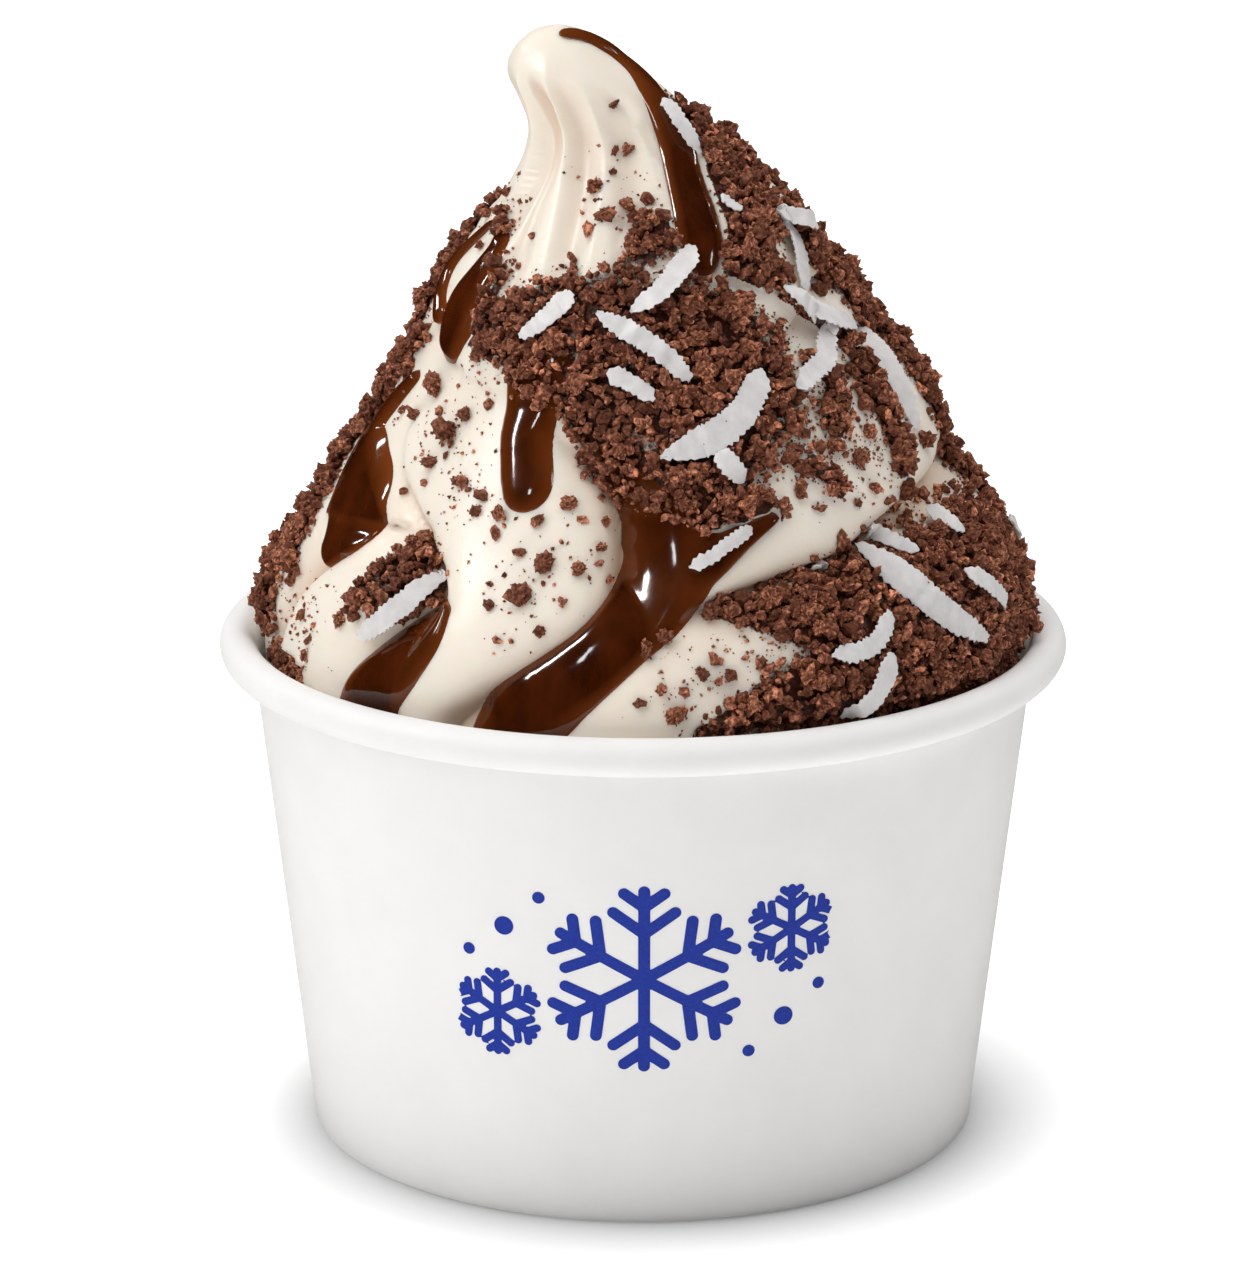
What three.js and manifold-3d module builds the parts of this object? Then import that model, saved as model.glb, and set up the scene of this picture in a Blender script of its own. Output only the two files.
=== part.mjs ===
// A swirl of frozen yogurt in a paper cup with a rolled rim, with chocolate sauce, crumbs and coconut on it.
// Millimetres, +Z up. The origin is on the ground under the middle of the cup, and the front faces -Y.
// Places on the swirl are [angle, height, ...]: the angle in degrees from the front, positive towards +X.
import * as THREE from "three";
import { mergeVertices } from "three/addons/utils/BufferGeometryUtils.js";
import Module from "manifold-3d";

const wasm = await Module();
wasm.setup();

// --- Driving dimensions of the paper cup ---
const CUP_HEIGHT = 58.15;
const RIM_RADIUS = 48; // outside of the rolled rim
const ROLL_RADIUS = 2.08; // of the rolled rim's section
const BASE_RADIUS = 38.03; // outside of the wall where it meets the ground
const PAPER = 0.6; // thickness of the coated board
const PLAY = 0.3; // gap between pieces that touch
const CURL_END = -122; // where the rolled rim's edge stops, in degrees below the rim's outermost line
const HEM_TOP = 7.2; // top of the wall's edge, which is folded up inside
const FLOOR_HEIGHT = 8.4; // middle of the recessed base disc
const SKIRT_BOTTOM = 1.5; // lower edge of the base disc's skirt, held in the hem
const CUP_SEGMENTS = 48;

// --- Driving dimensions of the swirl ---
const TIP = 126.4;
const SHOULDER = 46; // below this height the yogurt fills the cup to its wall
const YOGURT_GAP = 0.35;
const SWIRL_SEGMENTS = 60;
const SWIRL_ROWS = 26; // between the shoulder and the peak
const PEAK_START = 116;
const PEAK_ROWS = 5;
const CONE_STRETCH = 1.15; // a step up the sloping side is this much longer than its height
const FOLD_BLEND = 0.45; // how softly two folds run into each other

// The swirl without its folds: [height, half width, how far its middle leans to the side].
const ENVELOPE = [
  [46, 41.9, 0],
  [52, 42.6, 0],
  [57, 42.9, 0],
  [62, 42.3, 0.3],
  [66, 41, 0.4],
  [70, 38.8, 0.5],
  [75, 35.4, 0.5],
  [80, 32.6, 0.9],
  [85, 29.7, 1.2],
  [90, 26.7, 1.1],
  [95, 23.7, 0.4],
  [100, 20.9, 0],
  [104, 18, 0],
  [108, 15, -0.6],
  [111.3, 12.3, -1.6],
  [115, 10, -3.2],
  [118, 8.9, -5.2],
  [121, 7.6, -7.6],
  [123, 6, -8.8],
  [124.8, 4, -9.3],
  [125.9, 2, -9.5],
  [126.4, 0, -9.5],
];

// How a fold's side rises from its bottom (0) to the crown beside it (1), as the share of depth left.
const round = (u) => 1 - Math.sqrt(1 - (1 - u) ** 2); // the flank of a full, round rope
const slope = (u) => (1 - u) ** 2; // a hollow flank
const mixed = (u) => (round(u) + slope(u)) / 2;
const trough = (u) => (1 - u * u) ** 2; // a soft groove without an edge

// The folds between the ropes of yogurt: [angle, height, depth], and the reach and form of both sides.
const FOLDS = [
  {
    name: "front left, outer",
    path: [
      [-78, 46, 0], [-78, 50, 2.5], [-76, 55.5, 4.2], [-75, 59.5, 4.8], [-74, 62.8, 5], [-71.5, 66, 5],
      [-67, 69, 4.8], [-61, 71.9, 4.6], [-58, 74.2, 4.4], [-63, 75.8, 4.4], [-71, 77.2, 4], [-79, 79.2, 3.4],
      [-83, 82, 3], [-85, 85, 2.2], [-85, 88, 1], [-83, 90, 0],
    ],
    left: [11, mixed],
    right: [7, round],
  },
  {
    name: "front left, pocket",
    path: [[-60, 73.8, 3.4], [-55, 74.3, 3.8], [-50, 74.5, 4], [-45, 74.8, 4], [-41, 74, 2]],
    left: [6, round],
    right: [5, round],
  },
  {
    name: "front left, inner",
    path: [
      [-42, 46, 0], [-41.5, 50, 3], [-41, 55.5, 4.6], [-42, 58, 5], [-42, 60.5, 5.4], [-40.7, 63.2, 5.8],
      [-38.7, 65.8, 6], [-36.8, 68.5, 6], [-38, 70.6, 5.6], [-40.3, 72.6, 5], [-45.6, 75, 4.2],
      [-51.6, 77.3, 3.4], [-58.4, 79.6, 2.6], [-63.5, 82.2, 2], [-64, 84.6, 1.5], [-61, 87.5, 0.7],
      [-57, 90, 0],
    ],
    left: [15, mixed],
    right: [7, round],
  },
  {
    name: "front, under the sauce",
    path: [
      [-32, 48, 0], [-31, 52, 2.6], [-30, 56.3, 4], [-25, 60.1, 4.8], [-19.4, 62.8, 5.2], [-14.8, 64.9, 5.6],
      [-10.2, 67, 6], [-7.1, 69.3, 6.2], [-5.9, 71.5, 6.2], [-5.6, 74.1, 6], [-6.2, 76.9, 5.6], [-8.9, 80, 5],
      [-13.3, 82.4, 4.2], [-18.6, 84.6, 3], [-24.6, 86.4, 1.4], [-31, 88, 0],
    ],
    left: [9, round],
    right: [17, slope],
  },
  {
    name: "front right and round the back",
    path: [
      [-6, 60, 0], [-2, 64, 1.2], [2, 67, 2.4], [6.2, 69.2, 3.8], [11, 70.2, 4.6], [17.4, 71.1, 5.2],
      [27, 72.2, 5.6], [37.3, 73.1, 5.8], [48.2, 74.8, 5.8], [58.4, 76.1, 5.4], [69.2, 76.9, 5], [82, 77.8, 4.5],
      [98, 80, 4], [120, 83.5, 3.8], [150, 88, 3.2], [180, 92, 2.5], [205, 95, 0],
    ],
    left: [8, round],
    right: [13, mixed],
  },
  {
    name: "under the peak",
    path: [
      [-82, 95, 1], [-72, 93, 2], [-60, 91.4, 2.2], [-45, 90, 1.4], [-25, 89, 0.7], [0, 90, 0.8], [25, 93, 1.6],
      [50, 97, 2.4], [75, 100.5, 2.8], [100, 103, 2.6], [130, 106, 2], [160, 109, 1.2], [190, 111, 0],
    ],
    left: [5, round],
    right: [12, slope],
  },
  {
    name: "right, upper",
    path: [[8, 84, 0], [22, 86.2, 1.2], [40, 88.4, 2.4], [58, 91, 2.8], [80, 94, 2.6], [105, 97, 1], [118, 98, 0]],
    left: [5, round],
    right: [10, mixed],
  },
  {
    name: "back, lower",
    path: [
      [148, 50, 0], [156, 57, 3.5], [172, 63, 5], [195, 69, 5.4], [225, 74.5, 5.2], [252, 79.6, 4.4],
      [266, 83, 3.2], [274, 85, 2],
    ],
    left: [8, round],
    right: [14, mixed],
  },
  {
    name: "back left",
    path: [[214, 48, 0], [222, 56, 3.8], [240, 63, 4.8], [256, 68, 4.2], [268, 72, 2.6], [276, 76, 0]],
    left: [8, round],
    right: [14, mixed],
  },
  {
    name: "back, upper",
    path: [
      [98, 48, 0], [106, 56, 3.5], [121, 63, 4.8], [145, 70, 5.2], [172, 76, 4.8], [202, 82, 4], [232, 87, 3.2],
      [258, 91, 2.4], [272, 92.6, 0],
    ],
    left: [8, round],
    right: [14, mixed],
  },
  {
    name: "right, lower",
    path: [[55, 46, 0], [58, 54, 2.2], [66, 60, 2.8], [80, 65.5, 2.6], [96, 70, 1.6], [108, 74, 0]],
    left: [7, round],
    right: [12, mixed],
  },
];

// The soft grooves that the star nozzle leaves in the peak.
const PEAK_GROOVES = [
  {
    path: [
      [-34, 121.8, 0.3], [-40, 119.8, 2.2], [-43, 117.6, 2.3], [-46, 114, 1.6], [-49, 111, 1.4],
      [-50, 107.5, 1.1], [-48, 103.5, 0.8], [-44, 99.5, 0.5], [-40, 95, 0],
    ],
    left: [2.2, trough],
    right: [1.7, trough],
  },
  {
    path: [
      [-10, 121.5, 0.3], [-17, 118.6, 1.2], [-22, 115.4, 1.5], [-26, 111.6, 1.5], [-28, 107.6, 1.3],
      [-28, 103.5, 1], [-26, 99.5, 0.6], [-24, 96, 0],
    ],
    left: [3, trough],
    right: [2.6, trough],
  },
  {
    path: [[14, 119.5, 0.2], [6, 116, 0.8], [0, 111.4, 1.1], [-4, 106.8, 1.1], [-6, 102.6, 0.8], [-6, 98, 0]],
    left: [3.2, trough],
    right: [2.6, trough],
  },
];
const BACK_GROOVE_ANGLES = [32, 72, 112, 152, 192, 232, 272, 308];
for (const angle of BACK_GROOVE_ANGLES)
  PEAK_GROOVES.push({
    path: [
      [angle + 14, 122, 0.3], [angle + 6, 117, 1], [angle - 4, 111, 1.2], [angle - 10, 105, 1],
      [angle - 12, 99, 0.5], [angle - 12, 96, 0],
    ],
    left: [3.4, trough],
    right: [3.4, trough],
  });

// Runs of chocolate sauce: [angle, height, half width] down the middle of each.
const SAUCE_DEPTH = 1.1; // thickness of the sauce over the crown of a rope
const SAUCE_CROWN = 0.9; // how much a run bulges in the middle
const SAUCE_RUNS = [
  // from the peak, down its right side
  [
    [21, 125.7, 0.5], [50, 125, 0.8], [61, 123.4, 0.9], [57, 121.4, 1], [47, 119.3, 1], [38, 116.4, 1.1],
    [31, 113.4, 1.5], [28, 110.5, 2], [25, 107.7, 2.5], [24, 105.3, 2.5], [23, 103.2, 1.6],
  ],
  // on the left, under the peak
  [[-67, 104.4, 0.5], [-66, 102, 1], [-66, 99.4, 1.6], [-64, 96.9, 2], [-62, 94.4, 1.9], [-60, 92, 1]],
  // the drip in the middle
  [
    [-24, 96.7, 2.3], [-26, 93.6, 3.7], [-28, 91.1, 3.9], [-28, 88.6, 3.7], [-28, 86.2, 3.4], [-27, 83.8, 3.2],
    [-26, 81.4, 2.9], [-25, 79.6, 2.5], [-24, 78.3, 1.6],
  ],
  // down the outer fold on the left
  [
    [-78, 87, 0.8], [-76, 84.4, 1.4], [-73, 81.5, 1.9], [-72, 78.9, 2.5], [-71, 76, 3.1], [-68, 73.8, 3.4],
    [-68, 71.2, 2.8], [-68, 69, 1.8],
  ],
  // the pool between two ropes, down to the rim
  [
    [-14, 85.2, 1.4], [-6, 82, 2.8], [0, 79.3, 4.6], [3, 76.5, 5.6], [3, 73.6, 5.6], [0.5, 70.7, 5],
    [-3.5, 67.9, 4.3], [-7.5, 65.2, 4.2], [-12, 62.4, 4.6], [-16, 59.8, 5.2], [-20, 57, 5.4], [-22, 54, 4.6],
  ],
  // the pool's wedge to the right
  [[6, 73.6, 3.4], [11, 75, 2.6], [17, 76.8, 1.6], [23, 78.4, 0.8]],
  // low on the left, down to the rim
  [[-33.5, 69.2, 1.1], [-36, 66.2, 2.6], [-41, 62.9, 3.7], [-45, 60.1, 4.2], [-47, 57.4, 4.2], [-48, 54.4, 3.6]],
  // round the back
  [[150, 119, 0.8], [158, 113, 1.3], [165, 107, 1.8], [170, 101, 2.4], [172, 96, 2.6], [173, 92.4, 1.7]],
  [[114, 99, 1.1], [119, 94.5, 2], [124, 90, 2.8], [128, 86, 3.1], [130, 83, 2.4], [131, 81, 1.5]],
  [
    [196, 87.5, 1.4], [189, 82, 2.8], [182, 76, 4], [176, 70.8, 4.6], [170, 66, 4.6], [164, 61, 4.6],
    [160, 56.5, 4.4], [158, 53, 3.4],
  ],
  [[252, 92.5, 1], [248, 87, 2], [243, 81, 2.8], [238, 75, 3.2], [234, 70, 2.7], [232, 67, 1.6]],
];

// Where the crumbs lie thickly: [angle, height, half width] along each trail.
const CRUMB_BED = 1;
const CRUMB_TRAILS = [
  [
    [-56, 95.4, 1.8], [-42, 95.5, 3.2], [-28, 98, 3.9], [-13, 98, 5.1], [1, 97.1, 6.2], [14, 96, 6.8],
    [22, 91.8, 6.8], [14, 87.2, 6.2], [7, 82.5, 4.8], [9, 79.1, 2.9],
  ],
  [[19, 105.4, 1.2], [7, 106.2, 2.1], [-1, 104.6, 1.8]],
  [
    [84, 117, 1.6], [76, 112, 2.4], [64, 106.5, 3.4], [72, 100, 3.6], [78, 93, 3.8], [76, 86, 3.6], [82, 79, 3],
    [92, 76, 4],
  ],
  [[46, 107, 2.6], [36, 103, 2.6], [48, 98, 2.6], [44, 92, 4.2], [44, 86.5, 4.6], [34, 82.6, 4]],
  [[0, 68.4, 1.4], [9, 69, 2.4], [19, 68.8, 3.6], [31, 68.4, 5], [45, 68.4, 6], [63, 69, 5.6], [79, 70, 4.6]],
  [[10, 57.6, 1.8], [18, 60, 3.8], [28, 61.6, 5.2], [41, 63, 5.6], [58, 63.6, 5.6], [78, 62.6, 5], [92, 64, 4]],
  [[-84, 91.5, 1.4], [-90, 85.5, 2], [-93, 80, 2.6], [-91, 75, 3], [-87, 70.4, 2.6], [-83, 66.6, 1.8]],
  [[-52, 67, 1.3], [-48, 69.6, 2.2], [-45, 71.4, 2.4], [-42, 73, 1.6]],
  [[-79, 56.6, 1.4], [-70, 57.4, 1.6], [-63, 57, 1]],
  [[-69, 106.1, 0.8], [-60, 102.8, 1.5], [-52, 99.8, 1.9], [-51, 95.2, 1.8]],
  [[-92, 106, 1.2], [-94, 101, 1.6], [-92, 96, 1.4]],
  // round the back
  [[100, 112, 2], [104, 104, 3.2], [108, 96, 4], [106, 88, 4.6], [104, 80, 4.6]],
  [[98, 70, 5], [114, 66, 6], [132, 61, 5]],
  [[138, 101, 3.2], [148, 95, 4.6], [158, 88.5, 4.8], [152, 80, 4.4], [140, 76, 3.2]],
  [[186, 108, 2.2], [196, 102, 3.4], [206, 96, 4.4], [214, 90, 4], [224, 84, 3]],
  [[200, 64, 4.6], [214, 68.6, 5.6], [228, 72, 4.6], [216, 60, 3.6]],
  [[244, 60, 3.6], [256, 64, 4.6], [268, 66, 4.2], [276, 61, 3]],
  [[262, 100, 2.2], [266, 93, 3], [262, 87, 2.8]],
];

// Loose flakes of coconut: [angle, height] of both ends, the width, and how far the middle bows sideways.
const FLAKE_TOP = 0.7; // how far a flake stands proud of what it lies on
const SUNK = 0.8; // how deep toppings reach into what carries them
const FLAKES = [
  [[1, 84.4], [27, 92.3], 4, 1.2],
  [[-13, 98.5], [9, 92], 3, -0.8],
  [[-4, 98.5], [16, 104.4], 3.4, 0.4],
  [[-33, 95.3], [-20, 100.2], 3.2, 0.3],
  [[-10, 92.9], [0, 90.1], 3, -0.3],
  [[34, 90.3], [57, 95.6], 3.4, 0.8],
  [[41, 73.3], [58, 62], 4, 0.8],
  [[44, 75.8], [52, 71.9], 3, 0],
  [[57, 69.8], [67, 63.6], 3.4, 0],
  [[27, 64.8], [39, 67.8], 3.4, 1.4],
  [[29, 57.9], [37, 64.1], 3.6, 0.6],
  [[-48, 64.5], [-35, 72.8], 3.2, 0.6],
  [[77, 93], [73, 83], 4, 0.8],
  [[69, 106.1], [54, 99.2], 3.2, -0.8],
  [[43, 99.9], [65, 94.2], 2.6, 1],
  [[98, 108], [112, 101], 3.2, 0.8],
  [[104, 86], [118, 92], 3.6, 0.8],
  [[96, 68], [112, 64], 3.4, 1],
  [[140, 97], [156, 99], 3.2, 0.8],
  [[148, 84], [156, 77], 3.4, 0.6],
  [[194, 105], [206, 98], 3, -0.6],
  [[204, 91], [222, 94], 3.4, 0.8],
  [[206, 64], [214, 71], 3.6, 0.6],
  [[250, 61], [264, 68], 3.6, 0.8],
  [[-94, 82], [-88, 74], 3.2, 0.5],
  [[258, 96], [270, 91], 3, 0.6],
];

const CLUMP_COUNT = 56;
const CLUMP_RADII = [1.9, 1.2]; // the largest crumb clumps and the smallest
const CLUMP_SPACING = 5;
const CLUMP_HEIGHTS = [61.5, 120]; // above the rim, up to the peak
const SEED = 20;

// --- Geometry helpers ---
const WELD = 1e-3;
const radians = THREE.MathUtils.degToRad;
const clamp = THREE.MathUtils.clamp;

// A repeatable random number from 0 to 1.
function randomFrom(seed) {
  let state = seed;
  return () => {
    state = (state * 1664525 + 1013904223) % 4294967296;
    return state / 4294967296;
  };
}

// The smallest turn from angle b to angle a, in degrees.
const turn = (a, b) => ((((a - b + 180) % 360) + 360) % 360) - 180;

// A closed geometry with its shared vertices merged.
function welded(geometry) {
  geometry.deleteAttribute("normal");
  geometry.deleteAttribute("uv");
  return mergeVertices(geometry, WELD);
}

function solidOf(geometry) {
  const { index, attributes } = welded(geometry);
  return new wasm.Manifold(
    new wasm.Mesh({
      numProp: 3,
      vertProperties: new Float32Array(attributes.position.array),
      triVerts: new Uint32Array(index.array),
    }),
  );
}

function geometryOf(solid) {
  const { vertProperties, triVerts } = solid.getMesh();
  const geometry = new THREE.BufferGeometry();
  geometry.setAttribute("position", new THREE.BufferAttribute(vertProperties, 3));
  geometry.setIndex(new THREE.BufferAttribute(triVerts, 1));
  geometry.computeVertexNormals();
  return geometry;
}

// The largest body of a solid: it leaves out loose scraps, and hollows that are sealed inside.
function withoutScraps(solid) {
  const bodies = solidOf(geometryOf(solid)).decompose();
  bodies.sort((a, b) => b.volume() - a.volume());
  return bodies.length > 1 ? withoutScraps(bodies[0]) : bodies[0];
}

// A closed skin over rings of points, each ring as long as the others, with a fan over both ends.
function skin(rings) {
  const count = rings[0].length;
  const points = rings.flat();
  const faces = [];
  for (let r = 0; r < rings.length - 1; r++)
    for (let i = 0; i < count; i++) {
      const a = r * count + i;
      const b = r * count + ((i + 1) % count);
      faces.push(a, b, b + count, a, b + count, a + count);
    }
  for (const [ring, flip] of [[0, true], [rings.length - 1, false]]) {
    const middle = points.length;
    const centre = new THREE.Vector3();
    rings[ring].forEach((p) => centre.addScaledVector(p, 1 / count));
    points.push(centre);
    for (let i = 0; i < count; i++) {
      const a = ring * count + i;
      const b = ring * count + ((i + 1) % count);
      faces.push(...(flip ? [b, a, middle] : [a, b, middle]));
    }
  }
  const geometry = new THREE.BufferGeometry().setFromPoints(points);
  geometry.setIndex(faces);
  return geometry;
}

// --- The paper cup ---
// The wall's mid-line runs straight from the hem to the rim, where it is tangent to the rolled rim.
const hemRadius = BASE_RADIUS - PAPER / 2;
const rollMiddle = ROLL_RADIUS - PAPER / 2;
const rollCentre = new THREE.Vector2(RIM_RADIUS - ROLL_RADIUS, CUP_HEIGHT - ROLL_RADIUS);
const toRoll = new THREE.Vector2(rollCentre.x - hemRadius, rollCentre.y - PAPER / 2);
const wallLean = Math.atan2(toRoll.x, toRoll.y) - Math.asin(rollMiddle / toRoll.length());
const wallRadius = (height) => hemRadius + (height - PAPER / 2) * Math.tan(wallLean);
const layerStep = (PAPER + PLAY) / Math.cos(wallLean); // from one layer of the hem to the next

// The outline of a strip of paper along a path of [radius, height], closed on itself.
function paperOutline(path) {
  const points = path.map(([r, z]) => new THREE.Vector2(r, z));
  const outer = [];
  const inner = [];
  points.forEach((p, i) => {
    const before = points[Math.max(i - 1, 0)];
    const after = points[Math.min(i + 1, points.length - 1)];
    const arriving = p.clone().sub(i ? before : p.clone().multiplyScalar(2).sub(after)).normalize();
    const leaving = after.clone().sub(i < points.length - 1 ? p : before).normalize();
    const normal = new THREE.Vector2(arriving.y + leaving.y, -arriving.x - leaving.x).normalize();
    const reach = PAPER / 2 / (normal.x * arriving.y - normal.y * arriving.x);
    outer.push(p.clone().addScaledVector(normal, reach));
    inner.push(p.clone().addScaledVector(normal, -reach));
  });
  return [...outer, ...inner.reverse()];
}

function revolved(outline) {
  const geometry = new THREE.LatheGeometry(outline, CUP_SEGMENTS);
  return welded(geometry.rotateX(Math.PI / 2));
}

// How far what fills the cup may reach out from the middle.
const roomInCup = (height) => Math.min(wallRadius(height), rollCentre.x - rollMiddle) - PAPER / 2 - YOGURT_GAP;

function cupWallGeometry() {
  const path = [
    [wallRadius(HEM_TOP) - 2 * layerStep, HEM_TOP],
    [wallRadius(PAPER / 2) - 2 * layerStep, PAPER / 2],
    [hemRadius, PAPER / 2],
  ];
  const steps = 7;
  const start = Math.PI - wallLean;
  for (let i = 0; i <= steps; i++) {
    const angle = start + ((radians(CURL_END) - start) * i) / steps;
    path.push([rollCentre.x + rollMiddle * Math.cos(angle), rollCentre.y + rollMiddle * Math.sin(angle)]);
  }
  const outline = paperOutline(path);
  outline.push(outline[0].clone());
  return revolved(outline);
}

function cupBaseGeometry() {
  const outline = paperOutline([
    [0, FLOOR_HEIGHT],
    [wallRadius(FLOOR_HEIGHT) - layerStep, FLOOR_HEIGHT],
    [wallRadius(SKIRT_BOTTOM) - layerStep, SKIRT_BOTTOM],
  ]);
  return revolved(outline);
}

// --- The swirl ---
// A value of the envelope at a height, on a smooth curve through its knots.
function envelopeAt(height, column) {
  const last = ENVELOPE.length - 1;
  let k = 0;
  while (k < last - 1 && ENVELOPE[k + 1][0] < height) k++;
  const rise = (i) => (ENVELOPE[i + 1][column] - ENVELOPE[i][column]) / (ENVELOPE[i + 1][0] - ENVELOPE[i][0]);
  const tangent = (i) => {
    if (i === 0) return rise(0);
    if (i === last) return rise(last - 1);
    const below = ENVELOPE[i][0] - ENVELOPE[i - 1][0];
    const above = ENVELOPE[i + 1][0] - ENVELOPE[i][0];
    return (rise(i) * below + rise(i - 1) * above) / (below + above);
  };
  const span = ENVELOPE[k + 1][0] - ENVELOPE[k][0];
  const t = clamp((height - ENVELOPE[k][0]) / span, 0, 1);
  return (
    (2 * t ** 3 - 3 * t ** 2 + 1) * ENVELOPE[k][column] +
    (t ** 3 - 2 * t ** 2 + t) * span * tangent(k) +
    (3 * t ** 2 - 2 * t ** 3) * ENVELOPE[k + 1][column] +
    (t ** 3 - t ** 2) * span * tangent(k + 1)
  );
}
const halfWidth = (height) => Math.max(envelopeAt(height, 1), 0);
const lean = (height) => envelopeAt(height, 2);

// A smooth line through [angle, height, value] points.
function smoothLine(path, stepsPerPoint) {
  const curve = new THREE.CatmullRomCurve3(
    path.map((p) => new THREE.Vector3(...p)),
    false,
    "catmullrom",
    0.5,
  );
  return curve.getPoints((path.length - 1) * stepsPerPoint);
}

// The nearest place of a line to a point of the side: how far, on which side, and the line's value there.
function nearest(line, angle, height) {
  const width = halfWidth(height);
  const found = { distance: Infinity, right: false, value: 0 };
  for (let i = 0; i < line.length - 1; i++) {
    const a = line[i];
    const b = line[i + 1];
    const px = radians(turn(angle, a.x)) * width;
    const pz = (height - a.y) * CONE_STRETCH;
    const bx = radians(b.x - a.x) * width;
    const bz = (b.y - a.y) * CONE_STRETCH;
    const t = clamp((px * bx + pz * bz) / (bx * bx + bz * bz + 1e-9), 0, 1);
    const dx = px - t * bx;
    const dz = pz - t * bz;
    const distance = Math.hypot(dx, dz);
    if (distance < found.distance) {
      found.distance = distance;
      found.right = bz * dx - bx * dz > 0;
      found.value = a.z + (b.z - a.z) * t;
    }
  }
  return found;
}

const foldLines = FOLDS.map((fold) => ({ ...fold, line: smoothLine(fold.path, 5) }));
const grooveLines = PEAK_GROOVES.map((groove) => ({ ...groove, line: smoothLine(groove.path, 5) }));
const crumbLines = CRUMB_TRAILS.map((path) => smoothLine(path, 4));

function cutDepth({ line, left, right }, angle, height) {
  const { distance, right: onRight, value } = nearest(line, angle, height);
  const [reach, form] = onRight ? right : left;
  return value * form(Math.min(distance / reach, 1));
}

// How far the yogurt lies inside its envelope.
function foldDepth(angle, height) {
  const cuts = foldLines.map((fold) => cutDepth(fold, angle, height));
  const deepest = Math.max(...cuts);
  const sum = cuts.reduce((total, cut) => total + Math.exp((cut - deepest) / FOLD_BLEND), 0);
  const folds = Math.max(deepest + FOLD_BLEND * Math.log(sum / cuts.length), 0);
  const grooves = Math.max(...grooveLines.map((groove) => cutDepth(groove, angle, height)));
  return folds + grooves;
}

// 1 in the middle of the crumb trails, 0 outside them.
function crumbCover(angle, height) {
  const cover = crumbLines.map((line) => {
    const { distance, value } = nearest(line, angle, height);
    return clamp(1.6 - distance / value, 0, 1);
  });
  return Math.max(...cover);
}

// The yogurt's distance from its leaning middle.
function yogurtRadius(angle, height) {
  const width = halfWidth(height);
  return width - Math.min(foldDepth(angle, height), 0.55 * width);
}

function placeAt(angle, height, radius) {
  const a = radians(angle);
  const clear = height < CUP_HEIGHT + PLAY ? Math.min(radius, roomInCup(height)) : radius;
  return new THREE.Vector3(lean(height) + clear * Math.sin(a), -clear * Math.cos(a), height);
}

function swirlHeights() {
  const heights = [];
  for (let i = 0; i < SWIRL_ROWS; i++) heights.push(SHOULDER + ((PEAK_START - SHOULDER) * i) / SWIRL_ROWS);
  for (let i = 0; i < PEAK_ROWS; i++)
    heights.push(PEAK_START + (TIP - PEAK_START) * Math.sin((Math.PI / 2) * (i / PEAK_ROWS)));
  return heights;
}

function swirlGeometry() {
  const angles = Array.from({ length: SWIRL_SEGMENTS }, (_, i) => (360 * i) / SWIRL_SEGMENTS - 180);
  const bottom = FLOOR_HEIGHT + PAPER / 2 + YOGURT_GAP;
  const rings = [bottom, 27, SHOULDER - 2].map((height) =>
    angles.map((angle) => placeAt(angle, height, roomInCup(height))),
  );
  for (const height of swirlHeights())
    rings.push(
      angles.map((angle) => {
        const bed = CRUMB_BED * crumbCover(angle, height);
        return placeAt(angle, height, yogurtRadius(angle, height) + bed);
      }),
    );
  const geometry = skin(rings);
  geometry.attributes.position.setXYZ(rings.length * SWIRL_SEGMENTS + 1, lean(TIP), 0, TIP);
  return geometry;
}

// --- What lies on the swirl ---
// A point beside a line on the side: a number of millimetres to the right of the line at step i.
function beside(line, i, offset) {
  const p = line[i];
  const a = line[Math.max(i - 1, 0)];
  const b = line[Math.min(i + 1, line.length - 1)];
  const width = Math.max(halfWidth(p.y), 2);
  const across = new THREE.Vector2(
    (b.y - a.y) * CONE_STRETCH,
    -radians(turn(b.x, a.x)) * width,
  ).normalize();
  const angle = p.x + THREE.MathUtils.radToDeg((across.x * offset) / width);
  const height = Math.min(p.y + (across.y * offset) / CONE_STRETCH, TIP - 0.3);
  return { angle, height, radius: yogurtRadius(angle, height) };
}

// A run of sauce fills the fold it lies in: its top spans from edge to edge and bulges in the middle.
function sauceRun(path) {
  const line = smoothLine(path, 1);
  const shares = [-1, -0.7, 0, 0.7, 1];
  const rings = line.map((p, i) => {
    const spots = shares.map((share) => beside(line, i, share * p.z));
    const [left, , , , right] = spots;
    const top = spots.map(({ angle, height, radius }, k) => {
      const share = shares[k];
      const chord = left.radius + ((right.radius - left.radius) * (share + 1)) / 2;
      const fill = Math.sqrt(1 - share * share);
      const crown = Math.min(SAUCE_CROWN, p.z / 2) * fill;
      return placeAt(angle, height, Math.max(radius + SAUCE_DEPTH * fill, chord + crown) - SUNK * (1 - fill));
    });
    const under = beside(line, i, 0);
    return [...top, placeAt(under.angle, under.height, under.radius - 2 * SUNK)];
  });
  return skin(rings);
}

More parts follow.
